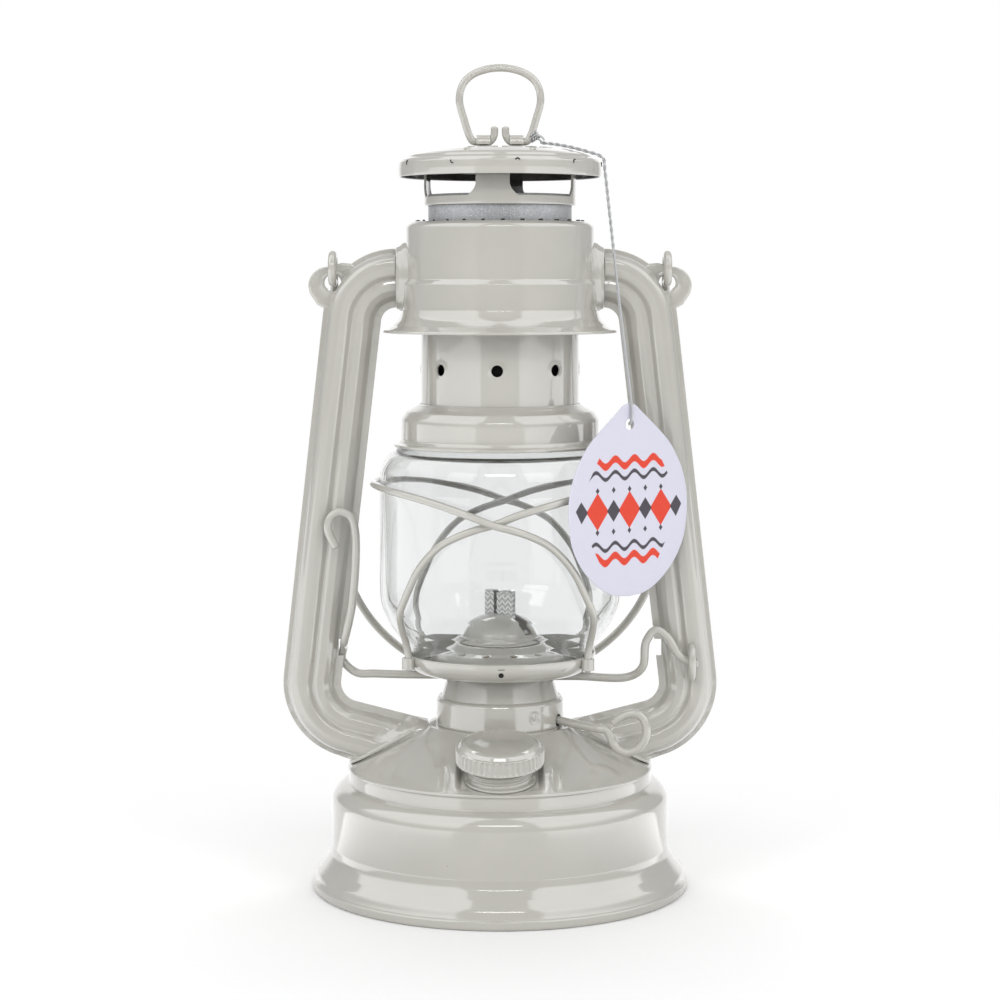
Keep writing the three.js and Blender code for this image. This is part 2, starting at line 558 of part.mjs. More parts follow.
function ductStations() {
  const stations = [{ x: duct.start, z: duct.height, heading: 0 }];
  const lean = duct.lean - quarterTurn;
  const bendSteps = 5;
  for (let i = 1; i <= bendSteps; i += 1) {
    const heading = lean * i / bendSteps;
    stations.push({
      x: duct.start - duct.topBend * Math.sin(heading), z: duct.height - duct.topBend * (1 - Math.cos(heading)), heading,
    });
  }
  const last = stations[stations.length - 1];
  const turn = duct.footFall - Math.PI - lean;
  const tangent = duct.footBend * Math.tan(-turn / 2);
  const length = (duct.cornerX - last.x) / Math.cos(lean) - tangent;
  const knee = { x: last.x + length * Math.cos(lean), z: last.z + length * Math.sin(lean), heading: lean };
  stations.push({ x: (last.x + knee.x) / 2, z: (last.z + knee.z) / 2, heading: lean }, knee);
  const centre = [knee.x + duct.footBend * Math.sin(lean), knee.z - duct.footBend * Math.cos(lean)];
  const kneeSteps = 7;
  for (let i = 1; i <= kneeSteps; i += 1) {
    const heading = lean + turn * i / kneeSteps;
    stations.push({
      x: centre[0] - duct.footBend * Math.sin(heading), z: centre[1] + duct.footBend * Math.cos(heading), heading,
    });
  }
  const end = stations[stations.length - 1];
  stations.push({
    x: end.x + duct.footEnd * Math.cos(end.heading), z: end.z + duct.footEnd * Math.sin(end.heading), heading: end.heading,
  });
  return stations;
}

// Rings of the section at each station, with flat ends; the section's first value points away from the chimney
function sweep(section, stations) {
  const ring = section.length;
  const places = stations.flatMap(({ x, z, heading }) => section.map(([u, v]) => [
    x - u * Math.sin(heading), v, z + u * Math.cos(heading),
  ]));
  const corners = [];
  for (let i = 0; i < stations.length - 1; i += 1) {
    for (let j = 0; j < ring; j += 1) {
      const [a, b] = [i * ring + j, i * ring + (j + 1) % ring];
      corners.push(a, b, a + ring, b, b + ring, a + ring);
    }
  }
  const outline = section.map(([u, v]) => new THREE.Vector2(u, v));
  for (const [a, b, c] of THREE.ShapeUtils.triangulateShape(outline, [])) {
    corners.push(a, c, b, a + places.length - ring, b + places.length - ring, c + places.length - ring);
  }
  const geometry = new THREE.BufferGeometry();
  geometry.setAttribute('position', new THREE.BufferAttribute(new Float32Array(places.flat()), 3));
  geometry.setIndex(corners);
  return geometry;
}

const stations = ductStations();
const boreStations = stations.map((station, i) => (i === 0 ? { ...station, x: station.x - overrun } : station));
const notchX = lever.pivotX - lever.wire / 2 - seat;
const notchTool = new THREE.BoxGeometry(overrun, overrun, duct.notchHigh - duct.notchLow)
  .translate(notchX + lever.wire + 2 * seat - overrun / 2, 0, (duct.notchLow + duct.notchHigh) / 2);
const domeTool = revolve([
  [0, dome.seamHeight - overrun], [dome.seamRadius + seat, dome.seamHeight - overrun],
  [dome.seamRadius + seat, dome.seamHeight + sheet], [dome.topRadius, dome.topHeight + 2 * seat],
  [0, dome.topHeight + 2 * seat],
], 2 * facets.large);

const earShape = new THREE.Shape();
earShape.moveTo(ear.x - 2 * ear.radius, ear.z).lineTo(ear.x - ear.radius * 1.25, ear.z + ear.radius)
  .lineTo(ear.x, ear.z + ear.radius).absarc(ear.x, ear.z, ear.radius, quarterTurn, -25 * degree, true)
  .lineTo(ear.x + ear.radius * 0.2, ear.z - ear.radius * 1.3).lineTo(ear.x - ear.radius * 0.6, ear.z - ear.radius * 1.3);
const earHole = cylinder(ear.holeRadius, overrun, facets.small).rotateX(quarterTurn).translate(ear.holeX, 0, ear.holeZ);
const earWeb = prism(earShape, ear.thickness, 6).rotateX(quarterTurn).translate(0, ear.thickness / 2, 0);

const tubeSolid = solid(sweep(ductSection, stations)).add(solid(earWeb)).subtract(solid(earHole))
  .subtract(solid(sweep(boreSection, boreStations))).subtract(solid(notchTool)).subtract(solid(domeTool));
for (const [name, side] of [['air_tube_left', -1], ['air_tube_right', 1]]) {
  add(name, geometryOf(tubeSolid).scale(side, 1, 1));
}

const crownTool = revolve([
  [0, crown.rimHeight], [crown.lowerRadius + seat, crown.rimHeight], [crown.lowerRadius + seat, crown.crease + sheet],
  [crown.upperRadius + seat, crown.crease + 3 * sheet], [crown.upperRadius + seat, crown.top], [0, crown.top],
], facets.large);
const socketShape = new THREE.Shape(Array.from({ length: facets.small }, (_, i) => {
  const angle = fullTurn * i / facets.small;
  return new THREE.Vector2(socket.across * Math.cos(angle), socket.depth * Math.sin(angle));
}));
const socketSolid = cut(
  prism(socketShape, socket.face - socket.inside).rotateY(quarterTurn).translate(socket.inside, 0, duct.height),
  crownTool, cylinder(duct.boreDepth, 4 * overrun, facets.bore).rotateY(quarterTurn).translate(socket.face, 0, duct.height),
);
for (const [name, side] of [['tube_socket_left', -1], ['tube_socket_right', 1]]) {
  add(name, socketSolid.clone().scale(side, 1, 1));
}

// Guard wires: each rises from the plate on one side, crosses the front and the back and rounds the far side
const crossInside = glass.beltRadius + 2 * seat + guard.wire / 2;
const crossOutside = crossInside + guard.wire + seat;
const guardShares = [
  [0.69, 0, 0], [0.69, 0, 0.11], [0.62, 0.72, 0.24], [0.55, 1, 0.37], [0.46, 1, 0.52], [0.34, 1, 0.68], [0.2, 1, 0.81],
];

function guardPath(crossing) {
  const climb = guard.crest - guard.foot;
  const rise = guardShares.map(([turnShare, reachShare, climbShare], i) => {
    const turn = i < 2 ? guard.footAngle : turnShare * quarterTurn;
    return [turn, guardFoot + (guard.wrap - guardFoot) * reachShare, guard.foot + climb * climbShare];
  });
  const crossTurn = rise[rise.length - 1][0];
  const over = [
    [0, crossing, guard.foot + climb * 0.87], [-crossTurn, crossing, guard.foot + climb * 0.91],
    [-2.2 * crossTurn, guard.wrap, guard.foot + climb * 0.96], [-3.6 * crossTurn, guard.wrap, guard.foot + climb * 0.99],
  ];
  rise[rise.length - 1][1] = crossing;
  const front = [...rise, ...over];
  const place = ([turn, radius, z], back) => [-radius * Math.sin(turn), -back * radius * Math.cos(turn), z];
  return [
    ...front.map((stop) => place(stop, 1)), [guard.wrap, 0, guard.crest], ...front.map((stop) => place(stop, -1)).reverse(),
  ];
}

const guardWires = [['guard_wire_left', 1, crossInside], ['guard_wire_right', -1, crossOutside]];
for (const [name, side, crossing] of guardWires) {
  add(name, wire(guardPath(crossing).map(([x, y, z]) => [side * x, y, z]), guard.wire));
}

// Bail: hooks through the ears, straight arms behind the tubes and a half round bow
const bailPivot = ear.holeZ + bail.hook;
const bailBow = ear.holeX;

function bailPoint(x, down, back = 0) {
  const hookX = bail.hook * Math.cos(bail.lean);
  return [
    x, hookX + down * Math.sin(bail.lean) + back * Math.cos(bail.lean),
    bailPivot + bail.hook * Math.sin(bail.lean) - down * Math.cos(bail.lean),
  ];
}

const hookSteps = 11;
const hookPoints = Array.from({ length: hookSteps }, (_, i) => {
  const angle = 305 * degree + (bail.lean - 305 * degree) * i / (hookSteps - 1);
  return [-ear.holeX, bail.hook * Math.cos(angle), bailPivot + bail.hook * Math.sin(angle)];
});
const bowSteps = 12;
const bowPoints = Array.from({ length: bowSteps + 1 }, (_, i) => {
  const angle = Math.PI * i / bowSteps;
  return bailPoint(-bailBow * Math.cos(angle), bail.reach + bailBow * Math.sin(angle));
});
add('bail', wire([
  ...hookPoints, bailPoint(-bailBow, bail.reach * 0.03), bailPoint(-bailBow, bail.reach * 0.5), ...bowPoints,
  bailPoint(bailBow, bail.reach * 0.5), bailPoint(bailBow, bail.reach * 0.03),
  ...hookPoints.map(([x, y, z]) => [-x, y, z]).reverse(),
], bail.wire));

// Lift lever: a handle loop, a run under the plate with a bow behind the wick tube, and a hump to the eye
function leverAxisY(x) {
  return -lever.frontY * (x + lever.pivotX) / (lever.eyeX + lever.pivotX);
}

function runPoint(x) {
  return [x, leverAxisY(x) + lever.trail, lever.run];
}

const loopShares = [[-0.36, -1.56], [-0.96, -0.1], [-0.72, 0.7], [-0.1, 1.04], [0.64, 0.74], [0.98, -0.36]];
const handleRise = lever.loopHeight - lever.pivotZ;
const humpStart = lever.eyeX - 1.5 * lever.hump;
const bowX = tubeWidth * 0.35;
add('lift_lever', wire([
  ...loopShares.map(([across, up]) => [
    -lever.pivotX + lever.loopRadius * across, -lever.frontY - lever.wire / 5, lever.loopHeight + lever.loopRadius * up,
  ]),
  [-lever.pivotX + lever.loopRadius * 0.76, -lever.frontY, lever.pivotZ + handleRise * 0.4],
  [-lever.pivotX + lever.loopRadius * 0.16, -lever.frontY * 0.74, lever.pivotZ + handleRise * 0.085],
  [-lever.pivotX, 0, lever.pivotZ],
  [-lever.pivotX - lever.wire / 4, lever.trail * 0.8, (lever.pivotZ + lever.run) / 2],
  [-lever.pivotX + lever.wire * 1.4, lever.trail, lever.run + lever.wire * 0.1],
  runPoint(-lever.pivotX * 0.8), runPoint(-plate.stepRadius), [-bowX, lever.bow, lever.run], runPoint(bowX * 2.4),
  runPoint(plate.bowlRadius), runPoint(humpStart - lever.wire * 1.6),
  [humpStart, -lever.frontY * 0.7, lever.eyeZ - lever.wire * 0.7],
  [humpStart + lever.wire * 0.4, -lever.frontY * 0.88, lever.eyeZ + lever.hump * 0.64],
  [lever.eyeX - lever.hump * 1.1, -lever.frontY * 0.9, lever.eyeZ + lever.hump],
  [lever.eyeX - lever.hump * 0.72, -lever.frontY * 0.93, lever.eyeZ + lever.hump * 0.74],
  [lever.eyeX - lever.hump * 0.4, -lever.frontY, lever.eyeZ + lever.hump * 0.24],
  [lever.eyeX, -lever.frontY, lever.eyeZ],
  [lever.eyeX + lever.tip, -lever.frontY, lever.eyeZ - lever.tip / 3],
], lever.wire));

const eyeFoot = depth + seat;
const [eyeHalf, eyeOut] = [lever.eyeHeight / 2, lever.frontY + lever.wire / 2 + seat + lever.eyeWire / 2];
add('lever_eye', wire([
  [lever.eyeX, -eyeFoot, lever.eyeZ + eyeHalf], [lever.eyeX, -(eyeFoot + eyeOut) / 2, lever.eyeZ + eyeHalf],
  [lever.eyeX, -eyeOut, lever.eyeZ + eyeHalf * 0.6], [lever.eyeX, -eyeOut, lever.eyeZ - eyeHalf * 0.6],
  [lever.eyeX, -(eyeFoot + eyeOut) / 2, lever.eyeZ - eyeHalf], [lever.eyeX, -eyeFoot, lever.eyeZ - eyeHalf],
], lever.eyeWire, 2));

// Tag: a drop-shaped card on a string that runs over the hood from the foot of the ring
const tagShares = [
  [0, 0], [0.27, 0.014], [0.5, 0.06], [0.73, 0.14], [0.87, 0.22], [0.955, 0.3], [1, 0.44], [0.985, 0.54], [0.91, 0.64],
  [0.82, 0.71], [0.68, 0.79], [0.46, 0.87], [0.2, 0.955], [0.1, 0.988], [0, 1],
];
const tagSide = tagShares.map(([across, up]) => new THREE.Vector2(across * tag.width / 2, up * tag.height));
const tagMirror = tagSide.slice(1, -1).reverse().map((point) => new THREE.Vector2(-point.x, point.y));
const tagShape = new THREE.Shape([...tagSide, ...tagMirror]);
const holeUp = 0.89;
tagShape.holes.push(new THREE.Path(disc(tag.hole, facets.bore).getPoints()
  .map((point) => new THREE.Vector2(point.x, point.y + holeUp * tag.height))));
add('swing_tag', prism(tagShape, tag.thickness).translate(0, 0, -tag.thickness / 2).rotateX(quarterTurn)
  .translate(tag.slide, -tag.distance, tag.bottom).rotateZ(tag.turn), { color: 0xd8d8e4, roughness: 0.55, metalness: 0 });

const stringPoints = [
  [14.4, -1.6, 266.2], [18.8, -4.4, 265.7], [25, -7.6, 265.3], [31.2, -10, 264.7], [34.4, -11.2, 263.4],
  [36.1, -12, 260.6], [36.6, -12.8, 256], [38.8, -16.6, 235], [41.4, -20.9, 210], [44.2, -25.4, 186],
  [45.5, -27.5, 174.5], [45.6, -27.6, 170.9], [45.2, -27.1, 168.9], [44.6, -26.4, 168.2],
];
add('tag_string', wire(stringPoints, string.diameter, 3), { color: 0xc8cacc, roughness: 0.5, metalness: 0.4 });

export default lantern;
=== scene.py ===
import math

import bpy
import numpy as np
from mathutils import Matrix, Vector


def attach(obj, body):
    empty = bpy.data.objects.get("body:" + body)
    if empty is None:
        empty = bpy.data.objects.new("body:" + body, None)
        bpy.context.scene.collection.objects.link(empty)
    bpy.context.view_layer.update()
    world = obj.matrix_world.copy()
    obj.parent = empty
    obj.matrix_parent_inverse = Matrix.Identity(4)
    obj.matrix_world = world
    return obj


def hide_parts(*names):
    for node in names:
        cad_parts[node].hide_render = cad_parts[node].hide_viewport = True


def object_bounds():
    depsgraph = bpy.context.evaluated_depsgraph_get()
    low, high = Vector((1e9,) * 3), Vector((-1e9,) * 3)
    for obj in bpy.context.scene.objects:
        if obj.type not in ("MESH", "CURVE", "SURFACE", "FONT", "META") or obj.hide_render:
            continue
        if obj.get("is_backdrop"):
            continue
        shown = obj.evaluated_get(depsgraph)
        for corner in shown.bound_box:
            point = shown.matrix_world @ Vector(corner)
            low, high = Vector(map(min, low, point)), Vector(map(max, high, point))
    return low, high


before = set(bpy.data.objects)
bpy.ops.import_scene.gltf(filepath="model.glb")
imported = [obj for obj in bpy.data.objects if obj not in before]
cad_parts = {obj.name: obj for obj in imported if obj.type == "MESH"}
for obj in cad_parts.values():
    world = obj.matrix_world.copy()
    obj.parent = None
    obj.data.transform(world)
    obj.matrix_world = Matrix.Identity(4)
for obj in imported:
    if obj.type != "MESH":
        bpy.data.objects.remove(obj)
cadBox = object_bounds()

# Sizes are written in millimetres, and a sheet is this thick unless its piece says otherwise
mm = 0.001
fullTurn = 2 * math.pi
sheetWall = 0.7
bothSides = (("Left", -1), ("Right", 1))


def turned(degrees):
    # degrees as radians
    return math.radians(degrees)


def circle(turn):
    # points on a circle of radius 1 at these turns
    return np.stack([np.cos(turn), np.sin(turn)], -1)


def shown(name, data):
    # a new object for this mesh, lamp or camera, linked into the scene at the world's origin
    thing = bpy.data.objects.new(name, data)
    bpy.context.scene.collection.objects.link(thing)
    return thing


# Camera: stands where the photograph was taken, a little above the ears of the tubes
view = {"place": (0, -0.8567, 0.2197), "pitch": 5.356, "lens": 86.4, "sensor": 36, "clip": (0.05, 20)}

eye = bpy.data.cameras.new("photoCamera")
eye.lens, eye.sensor_width = view["lens"], view["sensor"]
eye.clip_start, eye.clip_end = view["clip"]
camera = shown("photoCamera", eye)
camera.location = view["place"]
camera.rotation_euler = (turned(90 - view["pitch"]), 0, 0)
bpy.context.scene.camera = camera
bpy.context.scene.view_settings.view_transform = "Standard"


# Mesh tools: every piece is worked out as arrays of points in millimetres
def gridFaces(rows, columns, loopRows=False, loopColumns=False):
    # quads between neighbouring points of a rows by columns grid, wrapped round where asked
    i = np.arange(rows if loopRows else rows - 1)[:, None]
    j = np.arange(columns if loopColumns else columns - 1)[None, :]
    up, right = (i + 1) % rows, (j + 1) % columns
    corners = [i * columns + j, i * columns + right, up * columns + right, up * columns + j]
    return np.stack([np.broadcast_to(c, (len(i), j.shape[1])) for c in corners], -1).reshape(-1, 4)


def skin(rows, loopRows=True):
    # one surface over rings of points: the points and their faces, the last ring tied to the first if asked
    return rows.reshape(-1, 3), gridFaces(len(rows), rows.shape[1], loopRows, True)


def shut(rows):
    # the rings with one more at either end, drawn together at the middle of that end
    first, last = (np.broadcast_to(rows[k].mean(0), rows[k].shape)[None] for k in (0, -1))
    return np.concatenate([first, rows, last])


def cornerUv(rows, columns, along, around, loopColumns=True):
    # the surface coordinates of every face's four corners: along for its rows, around for its columns
    i = np.arange(rows - 1)[:, None]
    j = np.arange(columns if loopColumns else columns - 1)[None, :]
    pairs = [(along[i + a], around[j + b]) for a, b in ((0, 0), (0, 1), (1, 1), (1, 0))]
    return np.stack([np.stack(np.broadcast_arrays(u, v), -1) for u, v in pairs], 2).reshape(-1, 4, 2)


def welded(points, faces, uv):
    # points closer than a thousandth of a millimetre become one; faces left with three corners are kept apart,
    # and those left with two are dropped
    keys = np.round(points * 1000).astype(np.int64)
    _, first, back = np.unique(keys, axis=0, return_index=True, return_inverse=True)
    faces = back.reshape(-1)[faces]
    same = faces == np.roll(faces, -1, axis=1)
    whole, short = same.sum(1) == 0, same.sum(1) == 1
    keep = ~same[short]
    threes = (faces[short][keep].reshape(-1, 3), uv[short][keep].reshape(-1, 3, 2))
    return points[first], [(faces[whole], uv[whole]), threes]


def signedVolume(points, sets):
    # the sum of the signed pyramids from the middle to every face
    middle, total = points.mean(0), 0.0
    for faces, _ in sets:
        for b, c in ((1, 2), (2, 3))[:faces.shape[1] - 2]:
            p, q, r = (points[faces[:, k]] - middle for k in (0, b, c))
            total += np.einsum("ij,ij->i", p, np.cross(q, r)).sum()
    return total


def meshOf(name, parts, creases=40):
    # one mesh from several closed sets of (points, faces, uv), each turned so that its faces point outwards
    places, polygons, maps, base = [], [], [], 0
    for part in parts:
        points, faces = np.asarray(part[0], float).reshape(-1, 3), np.asarray(part[1])
        points, sets = welded(points, faces, part[2] if len(part) > 2 else np.zeros((len(faces), 4, 2)))
        if signedVolume(points, sets) < 0:
            sets = [(faces[:, ::-1], uv[:, ::-1]) for faces, uv in sets]
        for faces, uv in sets:
            polygons += (faces + base).tolist()
            maps.append(uv.reshape(-1, 2))
        places.append(points)
        base += len(points)
    mesh = bpy.data.meshes.new(name)
    mesh.from_pydata((np.concatenate(places) * mm).tolist(), [], polygons)
    layer = mesh.uv_layers.new(name="surface")
    layer.data.foreach_set("uv", np.concatenate(maps).astype(np.float32).ravel())
    mesh.shade_smooth()
    mesh.set_sharp_from_angle(angle=turned(creases))
    return mesh


def piece(name, parts, material, body, nodes=(), creases=40):
    # a finished piece: its mesh, its look, the body it rides on and the CAD nodes it stands for
    mesh = parts if isinstance(parts, bpy.types.Mesh) else meshOf(name, parts, creases)
    mesh.materials.clear()
    mesh.materials.append(material)
    thing = shown(name, mesh)
    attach(thing, body)
    if nodes:
        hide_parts(*nodes)
    return thing


def filleted(corners, steps=6):
    # a line of (x, y, radius) corners with each corner rounded by an arc that meets both its sides
    corners = [tuple(c) + (0,) * (3 - len(c)) for c in corners]
    line = [np.array(corners[0][:2], float)]
    for before, here, after in zip(corners, corners[1:], corners[2:]):
        p, q, r = (np.array(c[:2], float) for c in (before, here, after))
        a, b = p - q, r - q
        lengthA, lengthB = np.hypot(*a), np.hypot(*b)
        a, b = a / lengthA, b / lengthB
        half = math.acos(max(-1.0, min(1.0, float(a @ b)))) / 2
        if here[2] <= 0 or half > turned(89.6):
            line.append(q)
            continue
        reach = min(here[2] / math.tan(half), 0.49 * lengthA, 0.49 * lengthB)
        start, end, share = q + a * reach, q + b * reach, np.linspace(0, 1, steps + 1)[:, None]
        radius = reach * math.tan(half)
        centre = q + (a + b) / np.hypot(*(a + b)) * radius / math.sin(half)
        u, v = start - centre, end - centre
        angle = math.acos(max(-1.0, min(1.0, float(u @ v) / radius**2)))
        if angle < 1e-4:
            line.append(q)
            continue
        line += list(centre + (np.sin((1 - share) * angle) * u + np.sin(share * angle) * v) / math.sin(angle))
    line.append(np.array(corners[-1][:2], float))
    return np.array(line)


def evenly(line, step):
    # the same line with no stretch longer than step
    counts = [int(np.hypot(*(b - a)) / step) + 2 for a, b in zip(line, line[1:])]
    spans = [np.linspace(a, b, count)[:-1] for a, b, count in zip(line, line[1:], counts)]
    return np.vstack(spans + [line[-1:]])


def walled(line, wall, lip=True):
    # a sheet: the line, and the same line moved one wall to its left, with a rounded lip at each open end
    way = np.gradient(line, axis=0)
    way /= np.maximum(np.hypot(*way.T), 1e-9)[:, None]
    across = np.stack([-way[:, 1], way[:, 0]], 1)
    inner = line + across * wall
    inner[:, 0] = np.maximum(inner[:, 0], 0)
    ends = []
    for at, out in ((-1, 1), (0, -1)):
        swing = np.linspace(0, math.pi, 6)[1:-1, None]
        middle = line[at] + across[at] * wall / 2
        arc = middle - across[at] * np.cos(swing) * wall / 2 + out * way[at] * np.sin(swing) * wall / 2
        ends.append(arc if lip and line[at][0] > 1e-6 else np.zeros((0, 2)))
    return np.vstack([line, ends[0], inner[::-1], ends[1][::-1]])


def lathed(loop, segments=144, bend=None, closed=True):
    # the closed (radius, height) loop turned about Z; bend may change radius, turn and height over the surface
    turn = np.linspace(0, fullTurn, segments, endpoint=False)[None, :]
    radius, height = (np.repeat(loop[:, k:k + 1], segments, 1) for k in (0, 1))
    turn = np.repeat(turn, len(loop), 0)
    if bend:
        radius, turn, height = bend(radius, turn, height)
    points = np.stack([radius * np.cos(turn), radius * np.sin(turn), height], -1)
    return skin(points, closed)


def sheetRing(line, step, segments, wall=sheetWall, rounding=6, bend=None):
    # a turned sheet: the line with its corners rounded and no stretch over step, given its wall, turned about Z
    return lathed(walled(evenly(filleted(line, rounding), step), wall), segments, bend)


def smoothPath(points, perSpan=8):
    # centripetal Catmull-Rom line: each span leaves and meets its points along their neighbours' directions
    p = np.asarray(points, float)
    p = np.vstack([2 * p[0] - p[1], p, 2 * p[-1] - p[-2]])
    line = []
    for a, b, c, d in zip(p, p[1:], p[2:], p[3:]):
        t0, t1, t2 = (max(np.linalg.norm(v - u), 1e-6) ** 0.5 for u, v in ((a, b), (b, c), (c, d)))
        m1 = ((b - a) / t0 - (c - a) / (t0 + t1) + (c - b) / t1) * t1
        m2 = ((c - b) / t1 - (d - b) / (t1 + t2) + (d - c) / t2) * t1
        t = np.linspace(0, 1, perSpan, endpoint=False)[:, None]
        line.append((2 * t**3 - 3 * t**2 + 1) * b + (t**3 - 2 * t**2 + t) * m1
                    + (3 * t**2 - 2 * t**3) * c + (t**3 - t**2) * m2)
    return np.vstack(line + [p[-2:-1]])


def runAlong(path):
    # the length of the path up to each of its points
    return np.concatenate([[0], np.cumsum(np.linalg.norm(np.diff(path, axis=0), axis=1))])


def carriedFrames(path):
    # a direction and two crosswise ones at each point, each pair turned over from the one before without twist
    way = np.gradient(path, axis=0)
    way /= np.linalg.norm(way, axis=1)[:, None]
    side = np.cross(way[0], (0, 0, 1) if abs(way[0][2]) < 0.9 else (0, 1, 0))
    sides = []
    for w in way:
        side = side - w * (side @ w)
        side = side / np.linalg.norm(side)
        sides.append(side)
    sides = np.array(sides)
    return way, sides, np.cross(way, sides)


def wireAlong(path, diameter, sides=18):
    # circles of the wire's radius round each point of the path, shrinking to a dome at its two ends
    radius = diameter / 2
    swing = np.linspace(0, math.pi / 2, 5)
    lead, tail = path[0] - path[1], path[-1] - path[-2]
    lead, tail = lead / np.linalg.norm(lead), tail / np.linalg.norm(tail)
    shrink = 0.55 * radius
    front = [path[0] - lead * shrink * (1 - math.sin(s)) for s in swing[::-1]]
    back = [path[-1] - tail * shrink * (1 - math.sin(s)) for s in swing]
    inside = path[(np.linalg.norm(path - path[0], axis=1) > shrink)
                  & (np.linalg.norm(path - path[-1], axis=1) > shrink)]
    path = np.vstack([front, inside, back])
    scale = np.ones(len(path))
    scale[:5], scale[-5:] = np.cos(swing[::-1]), np.cos(swing)
    scale[0] = scale[-1] = 0
    way, side, up = carriedFrames(path)
    turn = np.linspace(0, fullTurn, sides, endpoint=False)
    ring = np.cos(turn)[None, :, None] * side[:, None, :] + np.sin(turn)[None, :, None] * up[:, None, :]
    points = path[:, None, :] + ring * (radius * scale)[:, None, None]
    uv = cornerUv(len(path), sides, runAlong(path), np.linspace(0, 1, sides + 1))
    return points.reshape(-1, 3), gridFaces(len(path), sides, False, True), uv


def carve(mesh, *tools, creases=40):
    # the mesh with each tool, a list of closed parts, taken away from it
    thing = shown("blank", mesh)
    cutters = [shown("cutter", meshOf("cutter", tool)) for tool in tools]
    for cutter in cutters:
        taking = thing.modifiers.new("taking", "BOOLEAN")
        taking.operation, taking.solver, taking.object = "DIFFERENCE", "EXACT", cutter
    done = bpy.data.meshes.new_from_object(thing.evaluated_get(bpy.context.evaluated_depsgraph_get()))
    for old in [thing, *cutters]:
        data = old.data
        bpy.data.objects.remove(old)
        bpy.data.meshes.remove(data)
    done.shade_smooth()
    done.set_sharp_from_angle(angle=turned(creases))
    return done


def moved(part, matrix=None, shift=(0, 0, 0), scale=(1, 1, 1)):
    # the part's points turned by a 3 by 3 matrix, then moved
    points = np.asarray(part[0], float) * np.array(scale, float)
    if matrix is not None:
        points = points @ np.asarray(matrix, float).T
    return (points + np.array(shift, float), *part[1:])


def spun(axis, degrees):
    # turning matrix about one axis
    c, s = math.cos(turned(degrees)), math.sin(turned(degrees))
    return np.array({"x": [[1, 0, 0], [0, c, -s], [0, s, c]], "y": [[c, 0, s], [0, 1, 0], [-s, 0, c]],
                     "z": [[c, -s, 0], [s, c, 0], [0, 0, 1]]}[axis])


def rod(radius, length, sides=48):
    # a closed round bar along Z, for cutting
    loop = np.array([[0, -length / 2], [radius, -length / 2], [radius, length / 2], [0, length / 2]], float)
    return lathed(loop, sides, closed=False)


def slab(width, depth, low, high):
    # a closed box of eight corners, for cutting
    x, y = width / 2, depth / 2
    loop = np.array([[-x, -y], [x, -y], [x, y], [-x, y]], float)
    rows = [np.c_[loop * share, [z] * 4] for share, z in ((0, low), (1, low), (1, high), (0, high))]
    return skin(np.array(rows), False)


def smoothstep(low, high, value):
    # 0 below low, 1 above high, and an even S between
    share = np.clip((value - low) / (high - low), 0, 1)
    return share * share * (3 - 2 * share)


print("camera and mesh tools ready")


# Shader tools: a finish is written as Python expressions on its sockets
class Signal:
    # one output socket; + - * / and ** with numbers or other signals add their Math nodes
    def __init__(self, finish, socket):
        self.finish, self.socket = finish, socket

    def maths(self, operation, *others):
        # this signal as the Math node's first value
        return self.finish.node("ShaderNodeMath", {"operation": operation}, dict(enumerate((self, *others))))

    def flipped(self, operation, other):
        # this signal as the Math node's second value
        return self.finish.node("ShaderNodeMath", {"operation": operation}, {0: other, 1: self})

    def __add__(self, other):
        return self.maths("ADD", other)

    def __sub__(self, other):
        return self.maths("SUBTRACT", other)

    def __rsub__(self, other):
        return self.flipped("SUBTRACT", other)

    def __mul__(self, other):
        return self.maths("MULTIPLY", other)

    def __truediv__(self, other):
        return self.maths("DIVIDE", other)

    def __rtruediv__(self, other):
        return self.flipped("DIVIDE", other)

    def __pow__(self, other):
        return self.maths("POWER", other)

    __radd__, __rmul__ = __add__, __mul__

    def ramp(self, low, high):
        # 0 at low, 1 at high, an even S between; low may be above high
        sockets = {0: self, 1: low, 2: high, 3: 0.0, 4: 1.0}
        return self.finish.node("ShaderNodeMapRange", {"interpolation_type": "SMOOTHSTEP"}, sockets)


